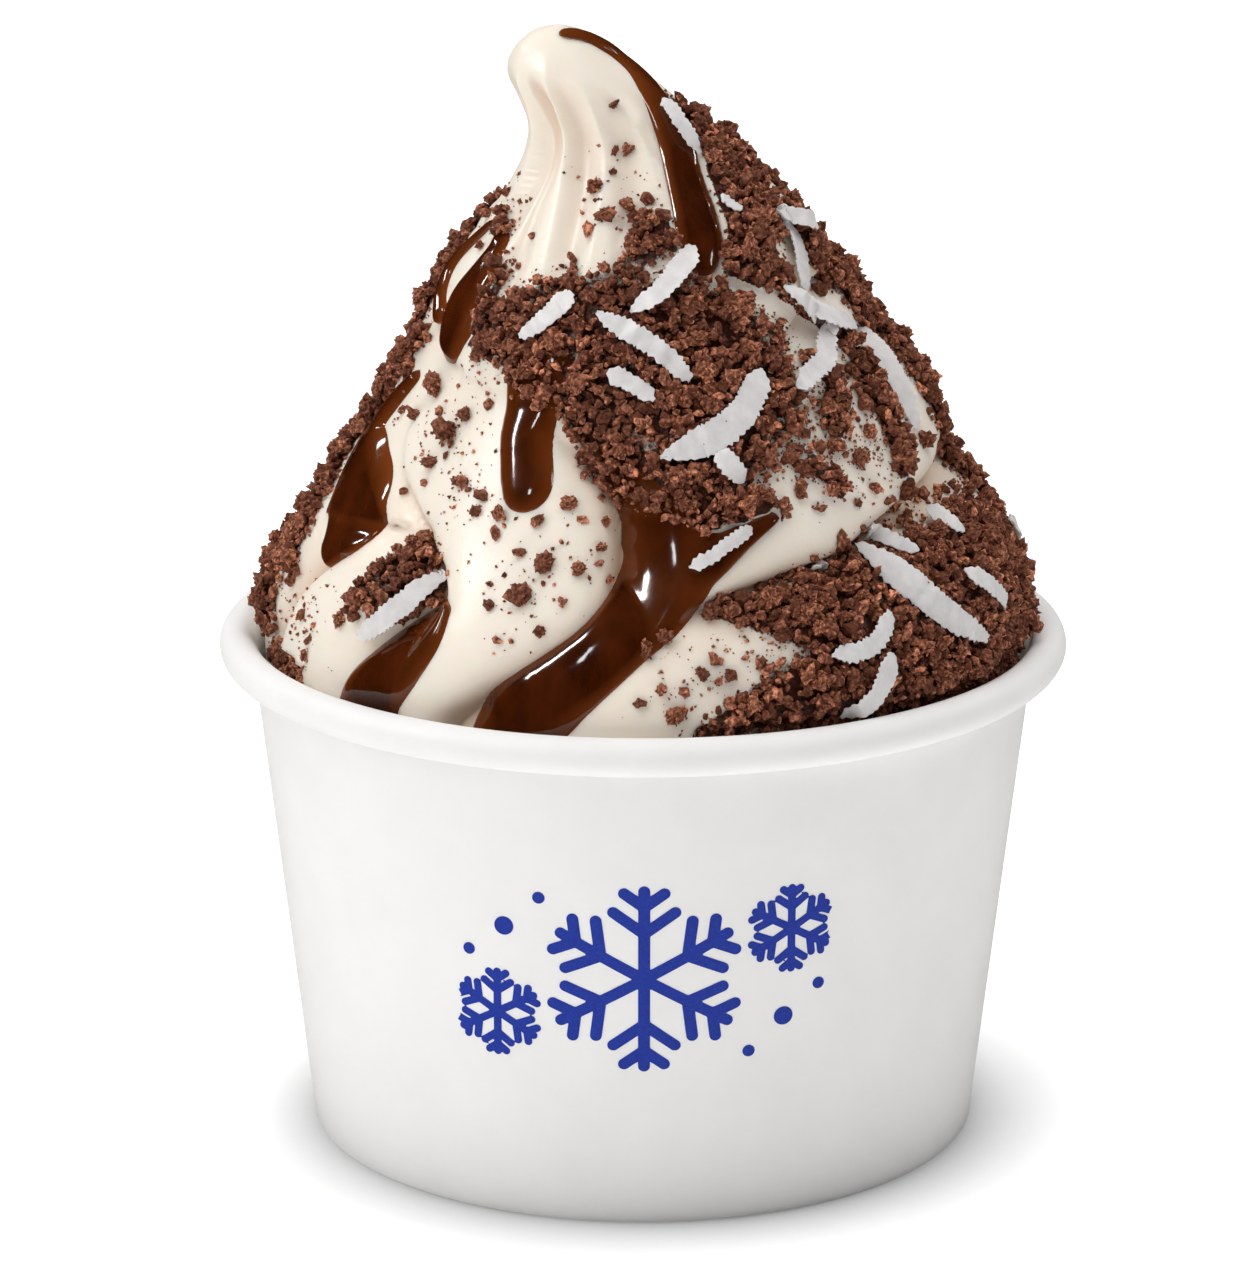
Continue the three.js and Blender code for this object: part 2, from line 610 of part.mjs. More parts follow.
// A flake is a thin strip that follows the surface under it and stands a little clear of it in the middle.
function flake([[angle0, height0], [angle1, height1], width, bow]) {
  const steps = 3;
  const line = Array.from({ length: steps + 1 }, (_, i) => {
    const t = i / steps;
    return new THREE.Vector3(angle0 + turn(angle1, angle0) * t, height0 + (height1 - height0) * t, 0);
  });
  const rings = line.map((_, i) => {
    const t = i / steps;
    const bowed = bow * Math.sin(Math.PI * t);
    const half = (width / 2) * (0.55 + 0.45 * Math.sin(Math.PI * clamp(t, 0.12, 0.88)));
    const left = beside(line, i, bowed - half);
    const right = beside(line, i, bowed + half);
    const middle = beside(line, i, bowed);
    const bed = CRUMB_BED * crumbCover(middle.angle, middle.height);
    const base = Math.max(middle.radius, (left.radius + right.radius) / 2) + bed;
    const at = (spot, lift) => placeAt(spot.angle, spot.height, base + lift);
    return [at(right, -SUNK), at(left, -SUNK), at(left, FLAKE_TOP), at(right, FLAKE_TOP)];
  });
  return skin(rings);
}

// A clump of crumbs: an uneven lump with twenty faces.
function clump(spot, size, random) {
  const geometry = welded(new THREE.IcosahedronGeometry(size, 0));
  const position = geometry.attributes.position;
  const point = new THREE.Vector3();
  for (let i = 0; i < position.count; i++) {
    point.fromBufferAttribute(position, i).multiplyScalar(0.8 + 0.4 * random());
    position.setXYZ(i, point.x, point.y, point.z);
  }
  geometry.rotateX(random() * Math.PI).rotateZ(random() * Math.PI);
  const middle = placeAt(spot.angle, spot.height, spot.radius + CRUMB_BED * spot.cover + 0.25 * size);
  return geometry.translate(middle.x, middle.y, middle.z);
}

// Clumps are dealt out over the trails, the largest first, and keep clear of each other.
function clumps() {
  const random = randomFrom(SEED);
  const spots = [];
  for (let tries = 0; spots.length < CLUMP_COUNT && tries < 20000; tries++) {
    const angle = 360 * random() - 180;
    const height = THREE.MathUtils.lerp(...CLUMP_HEIGHTS, random() ** 1.25);
    const cover = crumbCover(angle, height);
    if (cover < 0.75) continue;
    const radius = yogurtRadius(angle, height);
    const place = placeAt(angle, height, radius);
    if (spots.some((other) => other.place.distanceTo(place) < CLUMP_SPACING)) continue;
    spots.push({ angle, height, radius, cover, place });
  }
  return spots.map((spot, i) => {
    const share = i / Math.max(spots.length - 1, 1);
    return clump(spot, THREE.MathUtils.lerp(...CLUMP_RADII, share), random);
  });
}

function frozenYogurtGeometry() {
  const toppings = [...SAUCE_RUNS.map(sauceRun), ...FLAKES.map(flake), ...clumps()];
  const whole = toppings.map(solidOf).reduce((sum, piece) => sum.add(piece), solidOf(swirlGeometry()));
  return geometryOf(withoutScraps(whole));
}

// --- The scene graph ---
function piece(name, geometry, color, roughness) {
  geometry.computeVertexNormals();
  const material = new THREE.MeshStandardMaterial({ color, roughness, metalness: 0 });
  const mesh = new THREE.Mesh(geometry, material);
  mesh.name = name;
  return mesh;
}

const cup = new THREE.Group();
cup.add(
  piece("cup_wall", cupWallGeometry(), 0xf4f3f1, 0.6),
  piece("cup_base", cupBaseGeometry(), 0xf0efec, 0.6),
  piece("frozen_yogurt", frozenYogurtGeometry(), 0xf3ecdd, 0.4),
);

export default cup;
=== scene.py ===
"""A swirl of frozen yogurt in a paper cup, with chocolate sauce, crumbs and coconut flakes.

Places on the swirl are (angle, height): degrees from the front, positive towards +X, and millimetres above
the ground. The cup stands on the ground with its middle at the origin, and its front faces -Y.
"""

import functools
import math

import bmesh
import bpy
import numpy as np
from bpy.props import FloatProperty, FloatVectorProperty, IntProperty, PointerProperty
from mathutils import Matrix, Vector, noise
from mathutils.bvhtree import BVHTree


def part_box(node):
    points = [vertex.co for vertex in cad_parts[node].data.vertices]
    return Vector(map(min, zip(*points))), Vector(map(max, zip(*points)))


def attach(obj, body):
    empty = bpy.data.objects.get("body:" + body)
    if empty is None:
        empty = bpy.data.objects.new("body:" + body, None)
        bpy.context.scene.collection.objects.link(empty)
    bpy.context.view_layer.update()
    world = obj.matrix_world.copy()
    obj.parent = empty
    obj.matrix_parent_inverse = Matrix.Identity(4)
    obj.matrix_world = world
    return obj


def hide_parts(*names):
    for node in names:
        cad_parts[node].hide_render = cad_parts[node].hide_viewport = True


bl_info = {
    "name": "Frozen yogurt cup",
    "version": (1, 0, 0),
    "blender": (4, 5, 0),
    "location": "3D View > Sidebar > Yogurt cup",
    "description": "Builds a paper cup of frozen yogurt with sauce, crumbs and coconut",
    "category": "Add Mesh",
}

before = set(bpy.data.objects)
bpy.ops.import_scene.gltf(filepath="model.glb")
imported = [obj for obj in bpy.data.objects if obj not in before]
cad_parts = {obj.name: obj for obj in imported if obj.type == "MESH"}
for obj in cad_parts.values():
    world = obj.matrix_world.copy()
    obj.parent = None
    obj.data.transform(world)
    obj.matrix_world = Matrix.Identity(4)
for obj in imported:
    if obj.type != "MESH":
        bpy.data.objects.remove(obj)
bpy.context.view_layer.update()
WALL_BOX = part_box("cup_wall")
YOGURT_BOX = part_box("frozen_yogurt")
BODY = "root"
MM = 0.001

# --- The paper cup, in millimetres ---
CUP_HEIGHT = WALL_BOX[1].z / MM
RIM_RADIUS = WALL_BOX[1].x / MM
ROLL_RADIUS = 2.08  # of the rolled rim's section
BASE_RADIUS = 38.03
PAPER = 0.6
PLAY = 0.3
CURL_END = -122  # degrees below the rim's outermost line
HEM_TOP = 7.2
FLOOR_HEIGHT = 8.4
SKIRT_BOTTOM = 1.5
YOGURT_GAP = 0.35

# --- The swirl, in millimetres ---
TIP = YOGURT_BOX[1].z / MM
SHOULDER = 46.0
CONE_STRETCH = 1.15  # a step up the sloping side is this much longer than its height
FOLD_BLEND = 0.45
# Painted shade: a fold this deep or deeper gets the full fold shade colour.
FOLD_SHADE_FULL = 4.2  # a fold this deep has its full colour
MOST_DEEP = 0.55  # share of the half width that a fold may cut in
COLUMNS = 440
ROW_BANDS = [(SHOULDER, 92.0, 78), (92.0, 118.0, 100)]  # from, to, number of rows
TIP_ROWS = 26
CUP_RINGS = (20, 32, SHOULDER - 2)  # heights of the rings below the swirl

# Height, half width, and how far the middle leans to the side.
ENVELOPE = [
    (46, 41.9, 0), (52, 42.6, 0), (57, 42.9, 0), (62, 42.3, 0.3), (66, 41, 0.4), (70, 38.8, 0.5),
    (75, 35.4, 0.5), (80, 32.6, 0.9), (85, 29.7, 1.2), (90, 26.7, 1.1), (95, 23.7, 0.4), (100, 20.9, 0),
    (104, 18, 0), (108, 15, -0.6), (111.3, 12.3, -1.6), (115, 10, -3.2), (118, 8.9, -5.2), (121, 7.6, -7.6),
    (123, 6, -8.8), (124.8, 4, -9.3), (125.9, 2, -9.5), (TIP, 0, -9.5),
]


# How a fold's side rises from its bottom (0) to the crown beside it (1), as the share of depth left.
def rounded(u):
    return 1 - np.sqrt(np.clip(1 - (1 - u) ** 2, 0, 1))


def hollow(u):
    return (1 - u) ** 2


def mixed(u):
    return (rounded(u) + hollow(u)) / 2


def trough(u):
    return (1 - u * u) ** 2


# The folds between the ropes of yogurt: (angle, height, depth), and the reach and form of both sides.
FOLDS = [
    ([(-78, 46, 0), (-78, 50, 2.5), (-76, 55.5, 4.2), (-75, 59.5, 4.8), (-74, 62.8, 5), (-71.5, 66, 5),
      (-67, 69, 4.8), (-61, 71.9, 4.6), (-58, 74.2, 4.4), (-63, 75.8, 4.4), (-71, 77.2, 4), (-79, 79.2, 3.4),
      (-83, 82, 3), (-85, 85, 2.2), (-85, 88, 1), (-83, 90, 0)], (11, mixed), (7, rounded)),
    ([(-60, 73.8, 3.4), (-55, 74.3, 3.8), (-50, 74.5, 4), (-45, 74.8, 4), (-41, 74, 2)],
     (6, rounded), (5, rounded)),
    ([(-42, 46, 0), (-41.5, 50, 3), (-41, 55.5, 4.6), (-42, 58, 5), (-42, 60.5, 5.4), (-40.7, 63.2, 5.8),
      (-38.7, 65.8, 6), (-36.8, 68.5, 6), (-38, 70.6, 5.6), (-40.3, 72.6, 5), (-45.6, 75, 4.2),
      (-51.6, 77.3, 3.4), (-58.4, 79.6, 2.6), (-63.5, 82.2, 2), (-64, 84.6, 1.5), (-61, 87.5, 0.7),
      (-57, 90, 0)], (15, mixed), (7, rounded)),
    ([(-32, 48, 0), (-31, 52, 2.6), (-30, 56.3, 4), (-25, 60.1, 4.8), (-19.4, 62.8, 5.2), (-14.8, 64.9, 5.6),
      (-10.2, 67, 6), (-7.1, 69.3, 6.2), (-5.9, 71.5, 6.2), (-5.6, 74.1, 6), (-6.2, 76.9, 5.6), (-8.9, 80, 5),
      (-13.3, 82.4, 4.2), (-18.6, 84.6, 3), (-24.6, 86.4, 1.4), (-31, 88, 0)], (9, rounded), (17, hollow)),
    ([(-6, 60, 0), (-2, 64, 1.2), (2, 67, 2.4), (6.2, 69.2, 3.8), (11, 70.2, 4.6), (17.4, 71.1, 5.2),
      (27, 72.2, 5.6), (37.3, 73.1, 5.8), (48.2, 74.8, 5.8), (58.4, 76.1, 5.4), (69.2, 76.9, 5),
      (82, 77.8, 4.5), (98, 80, 4), (120, 83.5, 3.8), (150, 88, 3.2), (180, 92, 2.5), (205, 95, 0)],
     (8, rounded), (13, mixed)),
    ([(-82, 95, 1), (-72, 93, 2), (-60, 91.4, 2.2), (-45, 90, 1.4), (-25, 89, 0.7), (0, 90, 0.8),
      (25, 93, 1.6), (50, 97, 2.4), (75, 100.5, 2.8), (100, 103, 2.6), (130, 106, 2), (160, 109, 1.2),
      (190, 111, 0)], (5, rounded), (12, hollow)),
    ([(8, 84, 0), (22, 86.2, 1.2), (40, 88.4, 2.4), (58, 91, 2.8), (80, 94, 2.6), (105, 97, 1), (118, 98, 0)],
     (5, rounded), (10, mixed)),
    ([(148, 50, 0), (156, 57, 3.5), (172, 63, 5), (195, 69, 5.4), (225, 74.5, 5.2), (252, 79.6, 4.4),
      (266, 83, 3.2), (274, 85, 2)], (8, rounded), (14, mixed)),
    ([(214, 48, 0), (222, 56, 3.8), (240, 63, 4.8), (256, 68, 4.2), (268, 72, 2.6), (276, 76, 0)],
     (8, rounded), (14, mixed)),
    ([(98, 48, 0), (106, 56, 3.5), (121, 63, 4.8), (145, 70, 5.2), (172, 76, 4.8), (202, 82, 4),
      (232, 87, 3.2), (258, 91, 2.4), (272, 92.6, 0)], (8, rounded), (14, mixed)),
    ([(55, 46, 0), (58, 54, 2.2), (66, 60, 2.8), (80, 65.5, 2.6), (96, 70, 1.6), (108, 74, 0)],
     (7, rounded), (12, mixed)),
]

# The soft grooves that the star nozzle leaves in the peak.
PEAK_GROOVES = [
    ([(-34, 121.8, 0.2), (-40, 119.8, 1.7), (-43, 117.2, 2), (-46, 114, 1.6), (-49, 111, 1.4),
      (-50, 107.5, 1.1), (-48, 103.5, 0.8), (-44, 99.5, 0.5), (-40, 95, 0)], (2.2, trough), (1.7, trough)),
    ([(-10, 121.5, 0.3), (-17, 118.6, 1.2), (-22, 115.4, 1.5), (-26, 111.6, 1.5), (-28, 107.6, 1.3),
      (-28, 103.5, 1), (-26, 99.5, 0.6), (-24, 96, 0)], (3, trough), (2.6, trough)),
    ([(14, 119.5, 0.2), (6, 116, 0.8), (0, 111.4, 1.1), (-4, 106.8, 1.1), (-6, 102.6, 0.8), (-6, 98, 0)],
     (3.2, trough), (2.6, trough)),
]
PEAK_GROOVES += [
    ([(side + 14, 122, 0.3), (side + 6, 117, 1), (side - 4, 111, 1.2), (side - 10, 105, 1),
      (side - 12, 99, 0.5), (side - 12, 96, 0)], (3.4, trough), (3.4, trough))
    for side in (32, 72, 112, 152, 192, 232, 272, 308)
]

# The crests between those grooves, which the nozzle's teeth leave finely beaded: (angle, height, half width).
BEADED_CRESTS = [
    [(-22, 122, 0.8), (-30, 118.6, 1), (-34, 115, 1), (-37, 111, 1), (-38.5, 107.5, 1), (-38, 103.5, 1),
     (-35, 99, 0.8)],
    [(3, 121, 0.8), (-6, 117.4, 1), (-11, 113.6, 1), (-15.5, 109.5, 1), (-17, 105, 1), (-17, 101, 0.8)],
    [(27, 119, 0.8), (20, 116, 1), (13, 111.5, 1), (8, 107, 1), (5, 103, 0.8)],
    [(-54, 120, 0.8), (-60, 116, 1), (-64, 112, 1), (-66, 108, 1), (-64, 104, 0.8)],
]
BEAD_PITCH = 0.85
BEAD_HEIGHT = 0.11

# --- Chocolate sauce: (angle, height, half width) down the middle of each run ---
SAUCE_SUNK = 0.8  # how far a run's edges lie under the yogurt
SAUCE_VOXEL = 0.31
SAUCE_SMOOTHINGS = 11
SAUCE_DEEP = 3  # sauce is not measured deeper than this
SAUCE_RUNS = [
    # from the peak, down its right side
    [(0, 126, 0.5), (60, 125.6, 1.2), (84, 123.8, 2), (80, 121.4, 2.3), (66, 119.2, 2.3), (50, 116.4, 2.1),
     (38, 113.6, 2.1), (30, 111, 2.4), (25, 108.2, 2.8), (22, 105.4, 2.9), (20.5, 103.6, 2.2)],
    # on the left, under the peak, and the thin strand beside it
    [(-66, 105.2, 0.7), (-62, 102.6, 2.2), (-61, 99.8, 3.5), (-63, 97.2, 3.9), (-62, 94.8, 3.9),
     (-62, 93.2, 3.1)],
    [(-72, 105.5, 0.4), (-80, 102.6, 0.8), (-84, 99.8, 1), (-81, 97, 1.2), (-74, 95, 1.4)],
    # the drip in the middle
    [(-26, 97, 2.6), (-28, 94, 4), (-29, 91.4, 4.2), (-29, 88.6, 3.8), (-29, 86.2, 3.4), (-27.5, 84, 3.3),
     (-26, 82.2, 3.3), (-25.2, 81.2, 3.2)],
    # down the outer fold on the left
    [(-72, 88.8, 1), (-77, 85.6, 2.1), (-81, 82.4, 3.6), (-78.5, 79.8, 5), (-73, 77.5, 6),
     (-68, 75.2, 6.6), (-67, 72.8, 5.4), (-68, 70.6, 3)],
    # the pool between two ropes, down to the rim, and its wedge to the right
    [(-14, 85.2, 1.4), (-6, 82, 2.8), (0, 79.3, 4.6), (3, 76.5, 5.6), (3, 73.6, 5.6), (0.5, 70.7, 5),
     (-3.5, 67.9, 4.3), (-7.5, 65.2, 4.2), (-12, 62.4, 4.6), (-16, 59.8, 5.2), (-20, 57, 5.4),
     (-22, 54, 4.6)],
    [(6, 73.6, 3.4), (11, 75, 2.6), (17, 76.8, 1.6), (23, 78.4, 0.8)],
    # low on the left, down to the rim
    [(-34, 69.2, 1), (-36, 66.2, 2.8), (-39, 63.4, 3.8), (-42, 60.6, 4.4), (-45, 57.8, 4.6), (-47, 54.6, 4)],
    # round the back
    [(150, 119, 0.8), (158, 113, 1.3), (165, 107, 1.8), (170, 101, 2.4), (172, 96, 2.6), (173, 92.4, 1.7)],
    [(128, 99, 1.1), (132, 94.5, 2), (136, 90, 2.8), (139, 86, 3.1), (141, 83, 2.4), (142, 81, 1.5)],
    [(196, 87.5, 1.4), (189, 82, 2.8), (182, 76, 4), (176, 70.8, 4.6), (170, 66, 4.6), (164, 61, 4.6),
     (160, 56.5, 4.4), (158, 53, 3.4)],
    [(238, 92.5, 1), (235, 87, 2), (231, 81, 2.8), (227, 75, 3.2), (224, 70, 2.7), (222, 67, 1.6)],
]
# Where no crumbs lie on a run: (run, first point).
BARE_SAUCE = [
    (0, 1), (1, 1), (2, 0), (3, 4), (4, 1), (5, 4), (6, 1), (7, 1), (8, 2), (9, 1), (10, 1), (11, 2),
]
# Bare crowns of ropes: (angle, height, half width).
BARE_YOGURT = [
    [(24, 102, 0.4), (32, 100.4, 0.8), (39, 98.8, 0.9), (47, 96.6, 0.9), (55, 93.6, 0.6)],
    [(72, 107, 0.4), (68, 105.1, 0.8), (62, 102.7, 0.8), (55, 100, 0.8), (49, 98, 0.6)],
]

# --- Crumbs: (angle, height, half width) along each trail ---
TRAIL_REACH = 1.6  # where a trail ends, in half widths
RIM_CRUMB_DEPTH = 1.4  # how far the yogurt stays inside the rim where crumbs lie on it
BED_LUMP = 1.3  # across the lumps of a bed
CRUMB_TRAILS = [
    [(-56, 95.4, 1.8), (-42, 95.5, 3.2), (-28, 98, 3.9), (-13, 98, 5.1), (1, 97.1, 6.2), (14, 96, 6.8),
     (22, 91.8, 6.8), (14, 87.2, 6.2), (7, 82.5, 4.8), (9, 79.1, 2.9)],
    [(-38, 93.6, 1.6), (-30, 92.6, 3), (-22, 92, 3.4), (-16, 91, 3)],
    [(-18, 89, 2), (-11, 86, 3), (-5, 83.4, 3.4), (3, 81.6, 3.2), (12, 80.6, 3), (20, 79.6, 2.2),
     (24, 79, 1)],
    [(-12, 93, 3), (-4, 90.5, 4), (6, 88.6, 4)],
    [(44, 101.4, 1.8), (36, 101.6, 1.6), (28, 100.6, 2)],
    [(33, 83.4, 1), (37, 81, 1.3), (38, 79.8, 0.8)],
    [(44, 99, 0.8), (51, 96.8, 1.3), (60, 94, 1.6), (62, 90.5, 2), (59, 87.5, 2.2), (59, 84.1, 2),
     (57, 80.6, 1.5)],
    [(42, 92.4, 0.8), (47, 91.4, 1.5), (46, 88.4, 1.6), (42, 86, 1.3)],
    [(19, 105.4, 1.2), (7, 106.2, 2.1), (-1, 104.6, 1.8)],
    [(84, 117, 1.6), (76, 112, 2.4), (66, 107.5, 3), (76, 101, 3.2), (84, 95, 3), (91, 89, 3.2),
     (92, 82, 3.4), (94, 76, 4)],
    [(60, 118, 1.4), (52, 114, 2), (48, 110, 2.6), (42, 106, 3), (36, 102.6, 2.4)],
    [(60, 116, 1.2), (46, 112.4, 1.6), (38, 109, 2), (34.5, 106, 2), (32, 103, 2)],
    [(24, 57, 2.4), (34, 57.5, 3.4), (50, 58, 3.6), (66, 58.4, 4), (82, 59, 4)],
    [(11, 69.6, 0.9), (16, 69, 1.3), (23, 68.6, 3), (33, 68.4, 5), (46, 68.4, 6), (63, 69, 5.6),
     (79, 70, 4.6)],
    [(9, 57.4, 1.4), (16, 59.6, 3), (26, 61.6, 4.8), (41, 63, 5.6), (58, 63.6, 5.6), (78, 62.6, 5),
     (92, 64, 4)],
    [(-82, 91.5, 1.8), (-88, 86, 2.6), (-92, 80, 3.6), (-89, 75, 4), (-84, 71, 3.2), (-80, 67.4, 2)],
    [(-52, 67, 1.3), (-48, 69.6, 2.4), (-45, 71.4, 2.6), (-42, 73, 1.8)],
    [(-44, 66.8, 0.9), (-40.5, 68.6, 1.4), (-39, 70, 1)],
    [(-79, 56.6, 1.4), (-70, 57.4, 1.6), (-63, 57, 1)],
    [(-69, 106.1, 0.8), (-60, 102.8, 1.5), (-52, 99.8, 1.9), (-51, 95.2, 1.8)],
    [(-92, 106, 1.2), (-94, 101, 1.6), (-92, 96, 1.4)],
    # round the back
    [(100, 112, 2), (104, 104, 3.2), (108, 96, 4), (106, 88, 4.6), (104, 80, 4.6)],
    [(98, 70, 5), (114, 66, 6), (132, 61, 5)],
    [(138, 101, 3.2), (148, 95, 4.6), (158, 88.5, 4.8), (152, 80, 4.4), (140, 76, 3.2)],
    [(186, 108, 2.2), (196, 102, 3.4), (206, 96, 4.4), (214, 90, 4), (224, 84, 3)],
    [(200, 64, 4.6), (214, 68.6, 5.6), (228, 72, 4.6), (216, 60, 3.6)],
    [(244, 60, 3.6), (256, 64, 4.6), (268, 66, 4.2), (276, 61, 3)],
    [(262, 100, 2.2), (266, 93, 3), (262, 87, 2.8)],
]

CLUMPS_ON_BEDS = 300

# Single clumps of crumb: (angle, height, radius).
CRUMB_CLUMPS = [
    (-49, 85, 1.5), (-64, 85.2, 0.9), (-46, 86.8, 0.9), (-50, 81.7, 1), (-40, 80.6, 1), (-34, 78.2, 0.7),
    (-29, 78.3, 0.9), (-21, 78.2, 1), (-16, 80, 1), (-9, 78.1, 0.6), (-23, 74.9, 0.8), (-18, 74, 1.7),
    (-12, 73.6, 1.2), (-21, 70.9, 1.6), (-17, 67.8, 0.7), (-9, 75.7, 0.7), (-27, 71.7, 0.5), (-14, 70.7, 0.6),
    (-18, 110.5, 1), (6, 114.2, 0.8), (-14, 108, 1), (-5, 108.7, 1.2), (-70, 106.3, 1), (18, 118.9, 0.7),
    (-8, 112.1, 0.6), (10, 65.2, 0.9), (4, 59.7, 1), (12, 63.6, 0.8), (0, 65.6, 0.7), (-62, 88.6, 1.8),
    (-54, 65.1, 1), (-65, 63.7, 0.9), (-61, 59.9, 0.8), (40, 84.2, 1.2), (45, 82.5, 1.5), (36, 80.2, 1.2),
    (29, 80.5, 1.1), (31, 82.6, 1.3), (28, 84, 0.9), (42, 87.4, 1.4), (47, 97.6, 1.7), (45, 91.9, 1.2),
    (57, 81, 1.2), (57, 78, 1.2), (47, 79.4, 0.8), (33, 78.6, 0.7), (71, 81.6, 1.2), (51, 84.7, 1),
    (10, 69.1, 1.3), (3, 67.1, 1.3), (0, 66.1, 1), (8, 63.9, 0.9), (2, 62.4, 0.7), (-1, 61, 0.7),
    (5, 59.8, 1.2), (140, 108, 0.9), (206, 112, 0.9), (190, 95, 1.1),
    (240, 97, 1), (176, 84, 1.2), (208, 77, 1.3), (150, 72, 1.2), (226, 80, 0.9), (252, 74, 1),
    (282, 88, 0.9),
]

# Where single grains and dust lie thinly: (angle, height, reach, how thickly).
CRUMB_PATCHES = [
    (42, 98, 5, 0.6), (44, 88, 6, 0.5), (34, 84, 5, 0.6), (50, 83, 5, 0.5), (62, 89, 6, 0.5),
    (62, 103, 4, 0.5),
    (-20, 73.5, 7, 0.2), (-52, 84, 5, 0.3), (-36, 80, 6, 0.25), (-10, 109.5, 5, 0.2), (14, 104, 5, 0.3),
    (6, 62.5, 6, 0.25), (-63, 62, 5, 0.25), (-66, 106, 4, 0.3), (16, 66, 5, 0.3), (-84, 64, 6, 0.3),
    (-46, 93, 4, 0.4), (150, 104, 8, 0.12), (206, 88, 9, 0.12), (176, 92, 9, 0.1), (240, 90, 9, 0.1),
    (232, 66, 8, 0.12), (120, 76, 9, 0.14), (284, 80, 8, 0.12),
]

# --- Coconut: (angle, height) of both ends, the width, how far the middle bows sideways, and some leans ---
FLAKES = [
    ((1, 84.4), (27, 92.3), 3.3, 1.2), ((-13, 98.5), (9, 92), 2.2, -0.8),
    ((-4, 98.5), (16, 104.4), 2.4, 0.4), ((-33, 95.3), (-20, 100.2), 2.4, 0.3),
    ((-10, 92.9), (0, 90.1), 2.2, -0.3), ((34, 90.3), (57, 95.6), 2.4, 0.8),
    ((41, 73.3), (58, 62), 3.3, 0.8), ((44, 75.8), (52, 71.9), 2.2, 0), ((58, 69.3), (66, 64.3), 2, 0),
    ((27, 64.6), (39, 67.6), 2.1, 1.3, -0.3), ((29, 57.9), (37, 64.1), 2.6, 0.6),
    ((-49, 64), (-38, 71.6), 2.4, 0.5), ((77, 93), (69, 83.2), 2.8, 2.4, -0.6),
    ((69, 106.1), (54, 99.2), 2.4, -0.8), ((43, 99.9), (65, 94.2), 2.1, 1, -0.3),
    ((116, 108), (128, 101), 2.4, 0.8), ((104, 86), (118, 92), 2.6, 0.8), ((96, 68), (112, 64), 2.4, 1),
    ((140, 97), (156, 99), 2.4, 0.8), ((148, 84), (156, 77), 2.4, 0.6), ((194, 105), (206, 98), 2.2, -0.6),
    ((204, 91), (222, 94), 2.4, 0.8), ((206, 64), (214, 71), 2.6, 0.6), ((250, 61), (264, 68), 2.6, 0.8),
    ((-116, 82), (-108, 74), 2.4, 0.5), ((238, 96), (250, 91), 2.2, 0.6),
    ((57, 118.4), (46, 113), 1.8, 0.3), ((63, 74.7), (66, 72), 2.2, 0.2), ((12, 85), (17, 82), 2.2, 0.2),
    ((222, 66), (236, 70), 2.4, -0.6), ((124, 66), (134, 59), 2.4, -0.6),
    ((7, 73.7), (18, 77.5), 1.5, 0.3), ((30, 73.4), (34, 72.2), 1.3, 0.1),
    ((38, 109), (42, 107.4), 1.7, 0.2), ((64, 106.3), (80, 104), 2.2, 0.4),
]


# --- Settings that a user would change ---
def length(name, description, default):
    """A length in metres, given in millimetres."""
    return FloatProperty(name=name, description=description, default=default * MM, min=0, subtype="DISTANCE",
                         unit="LENGTH", precision=5)


def colour(name, description, default):
    return FloatVectorProperty(name=name, description=description, default=default, subtype="COLOR",
                               min=0, max=1)


def power(name, description, default):
    return FloatProperty(name=name, description=description, default=default, min=0, subtype="POWER",
                         unit="POWER")


def strength(name, description, default):
    return FloatProperty(name=name, description=description, default=default, min=0)


def seed(default):
    return IntProperty(name="Seed", description="Start of the random draws", default=default, min=0)


class PaperCupSettings(bpy.types.PropertyGroup):
    """The paper cup and its print."""

    seam_step: length("Seam step", "How far the overlapping edge of the wall stands out", 0.22)
    seam_width: length("Seam width", "Width of the overlap down the back of the wall", 8)
    motif_height: length("Motif height", "Height above the ground of the middle of the print", 29.5)
    motif_size: length("Motif size", "Across the large snow crystal of the print", 21)
    paper_colour: colour("Paper", "Colour of the coated board", (0.87, 0.862, 0.85))
    print_colour: colour("Print", "Colour of the printing ink", (0.003, 0.028, 0.33))


class YogurtSettings(bpy.types.PropertyGroup):
    """The swirl of frozen yogurt."""

    bed_depth: length("Crumb bed", "How far the yogurt under thick crumbs stands out", 0.75)
    yogurt_colour: colour("Yogurt", "Colour of the frozen yogurt", (0.89, 0.812, 0.71))
    # Painted shade: the dark orange-brown deep in the folds stands for shade there.
    fold_shade_colour: colour("Folds", "Colour deep in the folds", (0.72, 0.47, 0.29))


class SauceSettings(bpy.types.PropertyGroup):
    """The chocolate sauce."""

    depth: length("Depth", "Thickness of the sauce over the crown of a rope", 1.1)
    crown: length("Crown", "How far a run bulges in its middle", 0.9)
    thick_colour: colour("Thick sauce", "Colour where the sauce is deep", (0.064, 0.0118, 0.0021))
    thin_colour: colour("Thin sauce", "Colour along the thin edges", (0.17, 0.039, 0.007))


class CrumbSettings(bpy.types.PropertyGroup):
    """The chocolate crumbs."""

    heap: length("Heap", "How far the crumbs are heaped above the yogurt", 1.3)
    seed: seed(7)
    # Painted light and shade: crumbs are paler on their points and darker between them.
    lit_point_colour: colour("Lit crumb", "Colour of the crumbs' points", (0.94, 0.37, 0.205))
    shaded_hollow_colour: colour("Deep crumb", "Colour between the points", (0.095, 0.025, 0.0115))


class CoconutSettings(bpy.types.PropertyGroup):
    """The coconut flakes."""

    thickness: length("Thickness", "Thickness of a flake", 0.3)
    tooth: length("Tooth", "Height of the teeth along a flake's edges", 0.25)
    seed: seed(11)
    flesh_colour: colour("Flake", "Colour of the coconut", (0.75, 0.73, 0.72))


